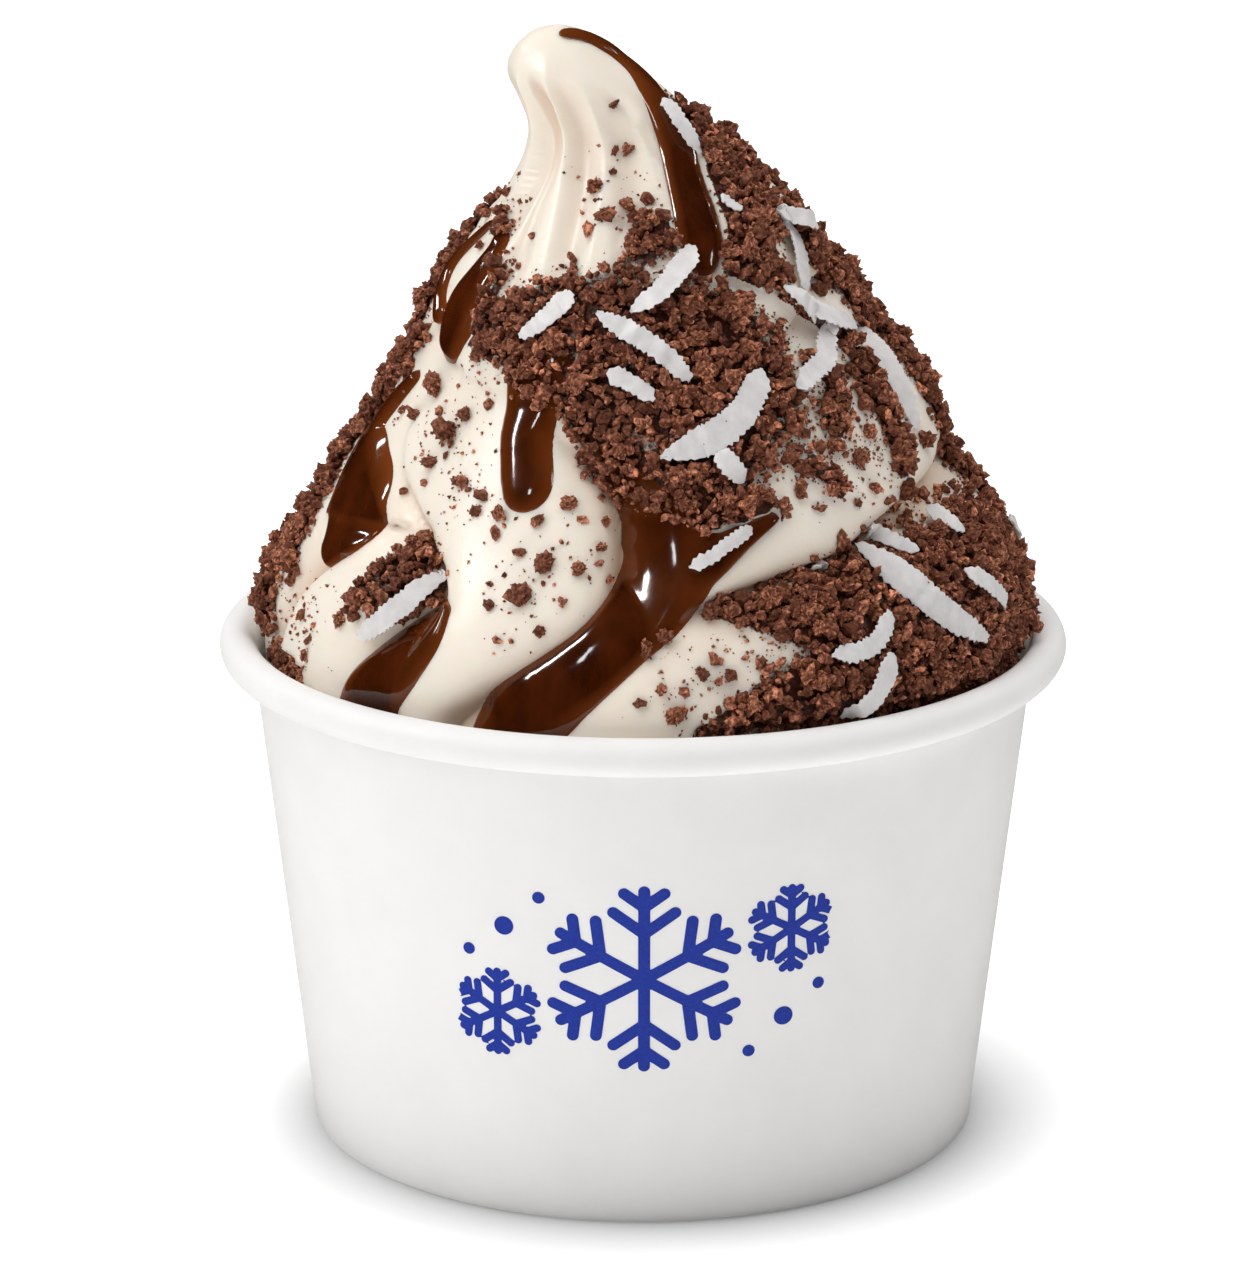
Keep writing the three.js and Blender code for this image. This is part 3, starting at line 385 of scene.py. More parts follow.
class StageSettings(bpy.types.PropertyGroup):
    """The camera and the lights."""

    camera_distance: length("Camera distance", "From the camera to the point it looks at", 655.55)
    camera_pitch: FloatProperty(name="Camera pitch", description="How far the camera looks down",
                                default=math.radians(16.44), subtype="ANGLE", unit="ROTATION")
    key_power: power("Key softbox", "Power of the tall softbox on the left, for highlights", 2.4)
    fill_power: power("Fill softbox", "Power of the softbox on the right, for highlights", 0.5)
    edge_power: power("Edge softboxes", "Power of each softbox beside the cup, for highlights", 0.6)
    window_power: power("Window", "Power of the small softbox in front, for highlights", 0.32)
    ceiling: strength("Ceiling", "Strength of the broad soft light from above and behind", 2.45)
    left_wall: strength("Left wall", "Strength of the broad soft light from the left in front", 1.57)
    room: strength("Room", "Brightness of the surroundings", 0.11)


SETTINGS = {
    "yogurt_cup_paper": PaperCupSettings,
    "yogurt_cup_yogurt": YogurtSettings,
    "yogurt_cup_sauce": SauceSettings,
    "yogurt_cup_crumb": CrumbSettings,
    "yogurt_cup_coconut": CoconutSettings,
    "yogurt_cup_stage": StageSettings,
}


# --- Meshes ---
def new_piece(name, points, faces, smooth=True):
    """A mesh object from points in millimetres and faces of any length."""
    mesh = bpy.data.meshes.new(name)
    faces = faces.tolist() if isinstance(faces, np.ndarray) else faces
    mesh.from_pydata((np.asarray(points) * MM).tolist(), [], faces)
    mesh.polygons.foreach_set("use_smooth", np.full(len(mesh.polygons), smooth))
    mesh.update()
    piece = bpy.data.objects.new(name, mesh)
    bpy.context.scene.collection.objects.link(piece)
    return piece


def finish_piece(piece, material, slot, *nodes):
    """Gives a piece its material and its place on the part, and lets it stand for CAD nodes."""
    piece.data.materials.clear()
    piece.data.materials.append(material)
    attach(piece, BODY)
    if nodes:
        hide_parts(*nodes)


def point_values(piece, name, values):
    """Stores one number for each point of a piece, which its material reads."""
    attribute = piece.data.attributes.new(name, "FLOAT", "POINT")
    attribute.data.foreach_set("value", np.asarray(values, np.float32).ravel())


def mesh_arrays(piece):
    """A piece's points in millimetres and its faces as lists of indices."""
    points = np.empty(len(piece.data.vertices) * 3)
    piece.data.vertices.foreach_get("co", points)
    faces = [tuple(polygon.vertices) for polygon in piece.data.polygons]
    return points.reshape(-1, 3) / MM, faces


def search_tree(*names):
    """A tree of the faces of some pieces, in millimetres, for casting rays at them."""
    points, faces = [], []
    for name in names:
        more_points, more_faces = mesh_arrays(bpy.data.objects[name])
        faces += [tuple(i + len(points) for i in face) for face in more_faces]
        points += more_points.tolist()
    return BVHTree.FromPolygons(points, faces)


def apply_modifiers(piece):
    """Makes a piece's modifiers part of its mesh."""
    bpy.context.view_layer.update()
    shaped = bpy.data.meshes.new_from_object(piece.evaluated_get(bpy.context.evaluated_depsgraph_get()))
    piece.modifiers.clear()
    piece.data = shaped


def ring_faces(rows, columns):
    """Quads between rows of points, each row closed on itself."""
    index = np.arange(rows * columns).reshape(rows, columns)
    beside = np.roll(index, -1, axis=1)
    quads = np.stack([index[:-1], beside[:-1], beside[1:], index[1:]], axis=-1)
    return quads.reshape(-1, 4)


def closed_skin(rings):
    """Points and faces of a closed skin over rings of points, with a fan over both ends."""
    rows, columns = rings.shape[:2]
    points = np.vstack([rings.reshape(-1, 3), rings[0].mean(0), rings[-1].mean(0)])
    faces = ring_faces(rows, columns).tolist()
    for start, middle, step in ((0, rows * columns, -1), ((rows - 1) * columns, rows * columns + 1, 1)):
        ring = [start + i for i in range(columns)][::step]
        faces += [(a, b, middle) for a, b in zip(ring, ring[1:] + ring[:1])]
    return points, faces


# --- Materials ---
class Shader:
    """A material whose nodes are added one by one."""

    def __init__(self, name):
        self.material = bpy.data.materials.new(name)
        self.material.use_nodes = True
        self.nodes = self.material.node_tree.nodes
        self.links = self.material.node_tree.links
        self.surface = self.nodes["Principled BSDF"]

    def add(self, kind, inputs=None, **settings):
        """A node with its settings, and its inputs by name: each a value or another node's output."""
        node = self.nodes.new(kind)
        for name, value in settings.items():
            setattr(node, name, value)
        self.fill(node, inputs or {})
        return node

    def feed(self, socket, value):
        """Gives a socket a value or another node's output."""
        if isinstance(value, bpy.types.NodeSocket):
            self.links.new(value, socket)
        else:
            socket.default_value = value

    def fill(self, node, inputs):
        for name, value in inputs.items():
            self.feed(node.inputs[name], value)

    def place(self):
        """Object coordinates."""
        return self.add("ShaderNodeTexCoord").outputs["Object"]

    def speckle(self, size, detail=4.0, roughness=0.6, stretch=(1, 1, 1)):
        """Noise whose features are about size millimetres across."""
        mapping = self.add("ShaderNodeMapping", {"Vector": self.place(), "Scale": stretch})
        return self.add("ShaderNodeTexNoise", {
            "Vector": mapping.outputs["Vector"], "Scale": 1 / (size * MM), "Detail": detail,
            "Roughness": roughness}).outputs["Fac"]

    def value(self, name):
        """A number stored on the points of the mesh."""
        return self.add("ShaderNodeAttribute", attribute_name=name).outputs["Fac"]

    def span(self, value, low, high, to_low=0.0, to_high=1.0):
        """A value from low to high, spread over another range."""
        return self.add("ShaderNodeMapRange", {
            "Value": value, "From Min": low, "From Max": high, "To Min": to_low,
            "To Max": to_high}).outputs["Result"]

    def maths(self, operation, *values):
        node = self.add("ShaderNodeMath", operation=operation)
        for socket, value in zip(node.inputs, values):
            self.feed(socket, value)
        return node.outputs["Value"]

    def blend(self, share, first, second):
        """A mix of two colours, each a colour or another node's output."""
        node = self.add("ShaderNodeMix", data_type="RGBA")
        for name, value in (("Factor_Float", share), ("A_Color", first), ("B_Color", second)):
            self.feed(next(s for s in node.inputs if s.identifier == name), value)
        return next(s for s in node.outputs if s.identifier == "Result_Color")

    def bump(self, height, millimetres, strength=1.0, under=None):
        """Relief so many millimetres high, on top of other relief if given."""
        inputs = {"Height": height, "Distance": millimetres * MM, "Strength": strength}
        if under is not None:
            inputs["Normal"] = under
        return self.add("ShaderNodeBump", inputs).outputs["Normal"]


def rgba(values):
    return (*values[:3], 1.0)


def paper_material(settings):
    """Coated white board: faint fibres and clouds, and a soft sheen."""
    shader = Shader("coated_paper")
    cloud = shader.speckle(9, detail=3)
    fibre = shader.speckle(0.35, detail=5, stretch=(1, 1, 0.35))
    white = rgba(settings.paper_colour)
    shade = rgba([0.965 * c for c in settings.paper_colour])
    tint = shader.blend(shader.span(cloud, 0.3, 0.7), white, shade)
    shader.fill(shader.surface, {
        "Base Color": tint,
        "Roughness": shader.span(fibre, 0.3, 0.7, 0.46, 0.58),
        "Specular IOR Level": 0.38,
        "Normal": shader.bump(fibre, 0.02, 0.5, shader.bump(cloud, 0.12, 0.35)),
    })
    return shader.material


def print_material(settings):
    """Blue ink with a slight unevenness, as the paper's fibres show through."""
    shader = Shader("printing_ink")
    fibre = shader.speckle(0.3, detail=5)
    ink = rgba(settings.print_colour)
    pale = rgba([1.35 * c + 0.004 for c in settings.print_colour])
    shader.fill(shader.surface, {
        "Base Color": shader.blend(shader.span(fibre, 0.45, 0.75), ink, pale),
        "Roughness": shader.span(fibre, 0.3, 0.7, 0.4, 0.55),
        "Specular IOR Level": 0.35,
        "Normal": shader.bump(fibre, 0.015, 0.4),
    })
    return shader.material


def yogurt_material(settings, crumb):
    """Creamy yogurt that light sinks into, with a painted shade in the folds, and brown under thick crumbs:
    crumb colour with painted shade between the grains.
    """
    shader = Shader("frozen_yogurt")
    cloud = shader.speckle(6, detail=3)
    crystals = shader.speckle(0.45, detail=4)
    cream = rgba(settings.yogurt_colour)
    fold_shade = rgba(settings.fold_shade_colour)
    # Painted shade: the deeper the fold, the more of the fold shade colour, varied by clouds.
    inside = shader.maths("MULTIPLY", shader.value("fold"), shader.span(cloud, 0.2, 0.8, 0.75, 1.0))
    body = shader.blend(inside, cream, fold_shade)
    # Under thick crumbs: the crumbs' shaded colour with darker patches, crumb with a painted shade between
    # the grains.
    bed = shader.speckle(1.1, detail=3, roughness=0.7)
    deep = rgba([0.6 * c for c in crumb.shaded_hollow_colour])
    brown = shader.blend(shader.span(bed, 0.4, 0.75), deep, rgba(crumb.shaded_hollow_colour))
    edge = shader.maths("ADD", shader.value("cover"), shader.span(bed, 0.3, 0.7, -0.2, 0.2))
    under_crumbs = shader.span(edge, 0.62, 0.8)
    relief = shader.bump(bed, 0.5, shader.maths("MULTIPLY", under_crumbs, 0.8))
    shader.fill(shader.surface, {
        "Base Color": shader.blend(under_crumbs, body, brown),
        "Roughness": shader.span(crystals, 0.35, 0.65, 0.3, 0.46),
        "Subsurface Weight": 0.55,
        "Subsurface Radius": (1.0, 0.72, 0.46),
        "Subsurface Scale": 1.3 * MM,
        "Specular IOR Level": 0.42,
        "Coat Weight": 0.08,
        "Coat Roughness": 0.22,
        "Normal": shader.bump(crystals, 0.035, 0.55, relief),
    })
    return shader.material


def sauce_material(settings):
    """Glossy chocolate sauce, nearly black where it is deep and caramel brown along its thin edges."""
    shader = Shader("chocolate_sauce")
    flow = shader.speckle(3.2, detail=2, stretch=(1, 1, 0.4))
    thin = shader.span(shader.value("thickness"), 0.1, 0.95, 1.0, 0.0)
    streaks = shader.speckle(4.5, detail=3, stretch=(1, 1, 0.3))
    dark = rgba([0.45 * c for c in settings.thick_colour])
    body = shader.blend(shader.span(streaks, 0.35, 0.62), dark, rgba(settings.thick_colour))
    shader.fill(shader.surface, {
        "Base Color": shader.blend(thin, body, rgba(settings.thin_colour)),
        "Roughness": shader.span(flow, 0.3, 0.7, 0.06, 0.12),
        "IOR": 1.5,
        "Normal": shader.bump(flow, 0.12, 0.35),
    })
    return shader.material


def crumb_material(settings):
    """Dry chocolate crumb with painted light and shade: paler on its points, dark between them and in its
    pores, and darker deep in a bed; no two grains alike.
    """
    shader = Shader("chocolate_crumb")
    pores = shader.speckle(0.42, detail=4, roughness=0.65)
    # Painted light and shade: outer points paler, inner ones darker, times each grain's tone, and darker in
    # the pores.
    point = shader.span(shader.value("point"), 0.1, 0.95, 0.1, 1.0)
    grain = shader.value("shade")
    lit = shader.maths("MULTIPLY", point, grain)
    share = shader.maths("MULTIPLY", lit, shader.span(pores, 0.38, 0.62, 0.15, 1.3))
    tips = shader.maths("POWER", shader.span(share, 0, 1), 1.3)
    tone = shader.blend(tips, rgba(settings.shaded_hollow_colour), rgba(settings.lit_point_colour))
    shader.fill(shader.surface, {
        "Base Color": tone,
        "Roughness": shader.span(pores, 0.3, 0.7, 0.6, 0.85),
        "Specular IOR Level": 0.2,
        "Normal": shader.bump(pores, 0.3, 1.0),
    })
    return shader.material


def coconut_material(settings):
    """White coconut with fine fibres along its length, which lets some light through."""
    shader = Shader("coconut_flesh")
    fibre = shader.speckle(0.3, detail=4, stretch=(1, 1, 0.4))
    cloud = shader.speckle(1.6, detail=3)
    flesh = rgba(settings.flesh_colour)
    grey = rgba([c * k for c, k in zip(settings.flesh_colour, (0.86, 0.85, 0.86))])
    shader.fill(shader.surface, {
        "Base Color": shader.blend(shader.span(cloud, 0.35, 0.7), flesh, grey),
        "Roughness": shader.span(fibre, 0.3, 0.7, 0.34, 0.52),
        "Subsurface Weight": 0.4,
        "Subsurface Radius": (1.0, 0.95, 0.9),
        "Subsurface Scale": 0.6 * MM,
        "Specular IOR Level": 0.45,
        "Normal": shader.bump(fibre, 0.02, 0.5),
    })
    return shader.material


# --- The paper cup ---
HEM_RADIUS = BASE_RADIUS - PAPER / 2
ROLL_MIDDLE = ROLL_RADIUS - PAPER / 2
ROLL_CENTRE = (RIM_RADIUS - ROLL_RADIUS, CUP_HEIGHT - ROLL_RADIUS)
TO_ROLL = (ROLL_CENTRE[0] - HEM_RADIUS, ROLL_CENTRE[1] - PAPER / 2)
WALL_LEAN = math.atan2(*TO_ROLL) - math.asin(ROLL_MIDDLE / math.hypot(*TO_ROLL))
LAYER_STEP = (PAPER + PLAY) / math.cos(WALL_LEAN)
CUP_SEGMENTS = 256
ROLL_STEPS = 26


def wall_radius(height):
    """The wall's mid-line, from the hem to the rolled rim."""
    return HEM_RADIUS + (height - PAPER / 2) * math.tan(WALL_LEAN)


def room_in_cup(height):
    """How far what fills the cup may reach out from the middle."""
    inside = np.minimum(wall_radius(height), ROLL_CENTRE[0] - ROLL_MIDDLE)
    return inside - PAPER / 2 - YOGURT_GAP


def paper_outline(path):
    """The outline of a strip of paper along a path of (radius, height)."""
    points = np.array(path, float)
    steps = np.diff(points, axis=0)
    steps /= np.linalg.norm(steps, axis=1, keepdims=True)
    arriving = np.vstack([steps[:1], steps])
    leaving = np.vstack([steps, steps[-1:]])
    middle = arriving + leaving
    normal = np.stack([middle[:, 1], -middle[:, 0]], axis=1)
    normal /= np.linalg.norm(normal, axis=1, keepdims=True)
    reach = PAPER / 2 / (normal[:, 0] * arriving[:, 1] - normal[:, 1] * arriving[:, 0])
    offset = normal * reach[:, None]
    return np.vstack([points + offset, (points - offset)[::-1]])


def turned(name, outline, swell):
    """A closed outline of (radius, height) turned about the middle; swell adds to the radius."""
    angles = np.linspace(0, 2 * math.pi, CUP_SEGMENTS, endpoint=False)
    radius, height = outline[:, 0][None, :], outline[:, 1][None, :]
    reach = radius + swell(angles[:, None], radius, height)
    rings = np.stack([reach * np.sin(angles)[:, None], -reach * np.cos(angles)[:, None],
                      np.broadcast_to(height, reach.shape)], axis=-1)
    rows, columns = rings.shape[:2]
    index = np.arange(rows * columns).reshape(rows, columns)
    after = np.roll(index, -1, axis=0)
    beside = np.roll(index, -1, axis=1)
    quads = np.stack([index, after, np.roll(after, -1, axis=1), beside], axis=-1).reshape(-1, 4)
    piece = new_piece(name, rings.reshape(-1, 3), quads)
    tidy = bmesh.new()
    tidy.from_mesh(piece.data)
    bmesh.ops.remove_doubles(tidy, verts=tidy.verts, dist=1e-3 * MM)
    bmesh.ops.recalc_face_normals(tidy, faces=tidy.faces)
    tidy.to_mesh(piece.data)
    tidy.free()
    piece.data.set_sharp_from_angle(angle=math.radians(40))
    return piece


def side_seam(settings):
    """The overlap down the back: one edge of the wall stands out by a paper's step."""
    step, width = settings.seam_step / MM, settings.seam_width / MM

    def swell(angles, radius, height):
        across = (angles - math.pi) * radius  # millimetres from the middle of the back
        edge = np.clip((across + width / 2) / 0.25, 0, 1)
        fade = np.clip((1.5 * width - across) / (2 * width), 0, 1)
        outside = radius > wall_radius(height)
        return step * edge * fade * (across < 1.5 * width) * outside

    return swell


def no_seam(angles, radius, height):
    return 0 * angles * radius


def wall_path():
    """The paper of the wall: up inside the hem, down, out, up the wall and round the rim."""
    lower = np.linspace(PAPER / 2, CUP_HEIGHT - 3 * ROLL_RADIUS, 10)
    path = [(wall_radius(HEM_TOP) - 2 * LAYER_STEP, HEM_TOP),
            (wall_radius(PAPER / 2) - 2 * LAYER_STEP, PAPER / 2)]
    path += [(wall_radius(height), height) for height in lower]
    for angle in np.linspace(math.pi - WALL_LEAN, math.radians(CURL_END), ROLL_STEPS):
        path.append((ROLL_CENTRE[0] + ROLL_MIDDLE * math.cos(angle),
                     ROLL_CENTRE[1] + ROLL_MIDDLE * math.sin(angle)))
    return path


def base_path():
    """The paper of the recessed base disc and its skirt in the hem."""
    return [(0, FLOOR_HEIGHT), (wall_radius(FLOOR_HEIGHT) - LAYER_STEP, FLOOR_HEIGHT),
            (wall_radius(SKIRT_BOTTOM) - LAYER_STEP, SKIRT_BOTTOM)]


# --- The print: three snow crystals and a few dots, meshed from their distance field ---
PRINT_CELL = 0.2
PRINT_THICKNESS = 0.05


def crystal_strokes(x, y, size, stroke):
    """The strokes of a six-armed snow crystal: (x0, y0, x1, y1, half width)."""
    strokes = []
    for arm in range(6):
        angle = math.radians(90 + 60 * arm)
        along = np.array([math.cos(angle), math.sin(angle)])
        strokes.append((x, y, *(np.array([x, y]) + along * size / 2), stroke / 2))
        for place, reach in ((0.52, 0.2), (0.82, 0.13)):
            joint = np.array([x, y]) + along * size / 2 * place
            for turn in (-math.pi / 3.4, math.pi / 3.4):
                tip = joint + size * reach * np.array([math.cos(angle + turn), math.sin(angle + turn)])
                strokes.append((*joint, *tip, stroke / 2))
    return strokes


def motif_strokes(size):
    """A large crystal with two small ones and dots beside it, about the middle of the print."""
    strokes = crystal_strokes(0, 0, size, 1.3)
    for x, y in ((-0.78, -0.24), (0.78, 0.24)):
        strokes += crystal_strokes(x * size, y * size, 0.46 * size, 0.9)
    for x, y, radius in ((-0.74, 0.26, 1.1), (-0.94, 0.1, 0.7), (0.74, -0.26, 1.1), (0.94, -0.1, 0.7),
                         (-0.55, 0.44, 0.7), (0.55, -0.44, 0.7)):
        strokes.append((x * size, y * size, x * size + 0.01, y * size, radius))
    return strokes


def stroke_distance(points, strokes):
    """How far points are outside the nearest stroke; negative inside."""
    nearest = np.full(points.shape[:-1], np.inf)
    for x0, y0, x1, y1, half in strokes:
        along = np.array([x1 - x0, y1 - y0])
        from_start = points - (x0, y0)
        share = np.clip(from_start @ along / (along @ along), 0, 1)
        distance = np.linalg.norm(from_start - share[..., None] * along, axis=-1) - half
        nearest = np.minimum(nearest, distance)
    return nearest


def motif_mesh(strokes, reach):
    """Flat points and quads of the print: cells inside it, with their outer corners pulled onto its edge."""
    axis = np.arange(-reach, reach + PRINT_CELL, PRINT_CELL)
    grid = np.stack(np.meshgrid(axis, axis, indexing="ij"), axis=-1)
    distance = stroke_distance(grid, strokes)
    middle = stroke_distance(grid[:-1, :-1] + PRINT_CELL / 2, strokes)
    keep = middle < 0
    index = np.arange(distance.size).reshape(distance.shape)
    quads = np.stack([index[:-1, :-1], index[1:, :-1], index[1:, 1:], index[:-1, 1:]], axis=-1)[keep]
    gradient = np.stack(np.gradient(distance, PRINT_CELL), axis=-1)
    gradient /= np.maximum(np.linalg.norm(gradient, axis=-1, keepdims=True), 1e-6)
    used, faces = np.unique(quads, return_inverse=True)
    faces = faces.reshape(-1, 4)
    count = np.bincount(faces.ravel(), minlength=len(used))
    rim = count < 4
    points = grid.reshape(-1, 2)[used]
    for _ in range(2):
        off = stroke_distance(points, strokes)
        points = np.where(rim[:, None], points - off[:, None] * gradient.reshape(-1, 2)[used], points)
    return points, faces


# --- The swirl ---
def smooth_line(points, steps):
    """A smooth curve through rows of numbers."""
    p = np.array(points, float)
    p = np.vstack([2 * p[0] - p[1], p, 2 * p[-1] - p[-2]])
    t = np.arange(steps)[:, None] / steps
    pieces = [
        0.5 * (2 * b + (c - a) * t + (2 * a - 5 * b + 4 * c - d) * t ** 2 + (3 * b - a - 3 * c + d) * t ** 3)
        for a, b, c, d in zip(p, p[1:], p[2:], p[3:])
    ]
    return np.vstack([*pieces, p[-2:-1]])


def envelope(height):
    """The half width and the lean of the swirl without its folds, on a smooth curve through the knots."""
    knots = np.array(ENVELOPE, float)
    z = knots[:, 0]
    k = np.clip(np.searchsorted(z, height) - 1, 0, len(z) - 2)
    span = z[k + 1] - z[k]
    t = np.clip((height - z[k]) / span, 0, 1)
    width, lean = (
        (2 * t ** 3 - 3 * t ** 2 + 1) * y[k] + (t ** 3 - 2 * t ** 2 + t) * span * np.gradient(y, z)[k]
        + (3 * t ** 2 - 2 * t ** 3) * y[k + 1] + (t ** 3 - t ** 2) * span * np.gradient(y, z)[k + 1]
        for y in knots[:, 1:].T
    )
    return np.maximum(width, 0), lean


class Swirl:
    """The side of the swirl unrolled: a grid of heights (rows) and angles (columns), in millimetres."""

    def __init__(self, bed_depth):
        bands = [np.linspace(low, high, count, endpoint=False) for low, high, count in ROW_BANDS]
        top = ROW_BANDS[-1][1]
        bands.append(top + (TIP - top) * np.sin(np.linspace(0, math.pi / 2, TIP_ROWS + 1)[:-1]))
        self.heights = np.concatenate(bands)
        self.angles = np.arange(COLUMNS) * 360 / COLUMNS - 180
        self.width, self.lean = envelope(self.heights)
        self.shape = (len(self.heights), COLUMNS)
        self.fold = self.fold_depth()
        cut = np.minimum(self.fold, MOST_DEEP * self.width[:, None])
        self.radius = self.width[:, None] - cut + self.beads()
        self.bare = self.free_of_crumbs()
        self.cover = self.crumb_cover() * self.bare
        self.bed = self.radius + bed_depth * self.cover * self.rough_bed()
        room = room_in_cup(self.heights)[:, None] - RIM_CRUMB_DEPTH * np.clip(1.5 * self.cover, 0, 1)
        self.bed = np.where(self.heights[:, None] < CUP_HEIGHT + PLAY, np.minimum(self.bed, room), self.bed)
        self.points = self.place(self.angles[None, :], self.heights[:, None], self.radius)
        across = np.roll(self.points, -1, axis=1) - np.roll(self.points, 1, axis=1)
        along = np.gradient(self.points, axis=0)
        normals = np.cross(across, along)
        self.cell_area = np.linalg.norm(normals, axis=-1) / 2
        self.normals = normals / np.maximum(np.linalg.norm(normals, axis=-1, keepdims=True), 1e-9)

    def trace(self, line, reach):
        """For grid points within reach of a line: distance, the line's value, and if right of it."""
        distance = np.full(self.shape, np.inf)
        value = np.zeros(self.shape)
        right = np.zeros(self.shape, bool)
        for a, b in zip(line, line[1:]):
            low, high = min(a[1], b[1]) - reach, max(a[1], b[1]) + reach
            rows = np.flatnonzero((self.heights >= low) & (self.heights <= high))
            if not rows.size:
                continue
            width = self.width[rows][:, None]
            turn = (self.angles - a[0] + 180) % 360 - 180
            span = math.degrees(reach / max(width.min(), 3)) + abs(b[0] - a[0])
            columns = np.flatnonzero(np.abs(turn) <= span)
            px = np.radians(turn[columns])[None, :] * width
            pz = (self.heights[rows][:, None] - a[1]) * CONE_STRETCH
            bx = math.radians(b[0] - a[0]) * width
            bz = (b[1] - a[1]) * CONE_STRETCH
            share = np.clip((px * bx + pz * bz) / (bx * bx + bz * bz + 1e-9), 0, 1)
            dx, dz = px - share * bx, pz - share * bz
            reached = np.hypot(dx, dz)
            cells = np.ix_(rows, columns)
            nearer = reached < distance[cells]
            distance[cells] = np.where(nearer, reached, distance[cells])
            value[cells] = np.where(nearer, a[2] + (b[2] - a[2]) * share, value[cells])
            right[cells] = np.where(nearer, bz * dx - bx * dz > 0, right[cells])
        return distance, value, right

    def cut(self, path, left, right):
        """How deep one fold or groove cuts."""
        reach = max(left[0], right[0])
        distance, value, on_right = self.trace(smooth_line(path, 7), reach)
        sides = [form(np.clip(distance / width, 0, 1)) for width, form in (left, right)]
        return value * np.where(on_right, sides[1], sides[0])

    def fold_depth(self):
        """How far the yogurt lies inside its envelope."""
        cuts = np.array([self.cut(*fold) for fold in FOLDS])
        deepest = cuts.max(0)
        total = np.exp((cuts - deepest) / FOLD_BLEND).sum(0)
        folds = np.maximum(deepest + FOLD_BLEND * np.log(total / len(cuts)), 0)
        return folds + np.max([self.cut(*groove) for groove in PEAK_GROOVES], axis=0)

    def beads(self):
        """Fine beads along the crests of the peak."""
        relief = np.zeros(self.shape)
        for crest in BEADED_CRESTS:
            distance, width, _ = self.trace(smooth_line(crest, 6), 3)
            across = np.exp(-((distance / np.maximum(width, 0.3)) ** 2))
            wave = np.sin(2 * math.pi * self.heights[:, None] * CONE_STRETCH / BEAD_PITCH + crest[0][0])
            relief = np.maximum(relief, across * (0.5 + 0.5 * wave))
        return BEAD_HEIGHT * relief

    def crumb_cover(self):
        """1 in the middle of the crumb trails, 0 outside them."""
        cover = np.zeros(self.shape)
        for trail in CRUMB_TRAILS:
            reach = TRAIL_REACH * max(width for _, _, width in trail)
            distance, width, _ = self.trace(smooth_line(trail, 5), reach)
            share = TRAIL_REACH - distance / np.maximum(width, 1e-6)
            cover = np.maximum(cover, np.where(np.isfinite(distance), np.clip(share, 0, 1), 0))
        return cover

    def free_of_crumbs(self):
        """0 on sauce and crowns that no crumbs lie on, 1 elsewhere."""
        share = np.ones(self.shape)
        for path in [SAUCE_RUNS[run][first:] for run, first in BARE_SAUCE] + BARE_YOGURT:
            distance, width, _ = self.trace(smooth_line(path, 6), 1.3 * max(w for _, _, w in path))
            share = np.minimum(share, np.clip((distance / np.maximum(width, 1e-6) - 0.9) / 0.25, 0, 1))
        return share

    def rough_bed(self):
        """An uneven bed of crumbs, from 0.5 to 1."""
        rough = np.ones(self.shape)
        for row, column in zip(*np.nonzero(self.cover > 0.02)):
            angle = math.radians(self.angles[column])
            spot = Vector((math.sin(angle), -math.cos(angle), 0)) * self.width[row]
            spot.z = self.heights[row]
            rough[row, column] = 0.75 + 0.5 * noise.noise(spot / BED_LUMP)
        return rough

    def place(self, angle, height, radius):
        """Points at angles, heights and distances from the leaning middle, clear of the cup."""
        height = np.asarray(height, float)
        clear = np.where(height < CUP_HEIGHT + PLAY, np.minimum(radius, room_in_cup(height)), radius)
        lean = np.interp(height, self.heights, self.lean)
        turn = np.radians(angle)
        x, y = lean + clear * np.sin(turn), -clear * np.cos(turn)
        return np.stack([x, y, np.broadcast_to(height, x.shape)], axis=-1)

    def sample(self, field, angle, height):
        """A field of the grid between its points."""
        column = (np.asarray(angle, float) + 180) % 360 * COLUMNS / 360
        c0 = np.floor(column).astype(int)
        across = column - c0
        row = np.interp(height, self.heights, np.arange(self.shape[0]))
        r0 = np.minimum(row.astype(int), self.shape[0] - 2)
        up = row - r0
        if field.ndim == 3:
            across, up = across[..., None], up[..., None]
        c0, c1 = c0 % COLUMNS, (c0 + 1) % COLUMNS
        lower = field[r0, c0] * (1 - across) + field[r0, c1] * across
        upper = field[r0 + 1, c0] * (1 - across) + field[r0 + 1, c1] * across
        return lower * (1 - up) + upper * up

    def beside(self, line, offsets):
        """(angle, height) of points so many millimetres to the right of each point of a line."""
        width = np.maximum(np.interp(line[:, 1], self.heights, self.width), 2)
        along = np.gradient(line[:, :2], axis=0)
        across = np.stack([along[:, 1] * CONE_STRETCH, -np.radians(along[:, 0]) * width], axis=1)
        across /= np.maximum(np.linalg.norm(across, axis=1, keepdims=True), 1e-9)
        angle = line[:, :1] + np.degrees(across[:, :1] * offsets / width[:, None])
        height = np.minimum(line[:, 1:2] + across[:, 1:] * offsets / CONE_STRETCH, TIP - 0.3)
        return angle, height


@functools.lru_cache(maxsize=1)
def swirl():
    return Swirl(bpy.context.scene.yogurt_cup_yogurt.bed_depth / MM)


def yogurt_rings(form):
    """Rings of points from the bottom of the cup to the tip, with each point's fold and cover."""
    bottom = FLOOR_HEIGHT + PAPER / 2 + YOGURT_GAP
    rings = [form.place(form.angles, np.full(COLUMNS, height), room_in_cup(height))
             for height in (bottom, *CUP_RINGS)]
    body = form.place(form.angles[None, :], form.heights[:, None] + np.zeros(form.shape), form.bed)
    return np.concatenate([rings, body]), len(rings)


# --- The sauce ---
SAUCE_SHARES = np.sin(np.linspace(-math.pi / 2, math.pi / 2, 25))
END_STEPS = 7


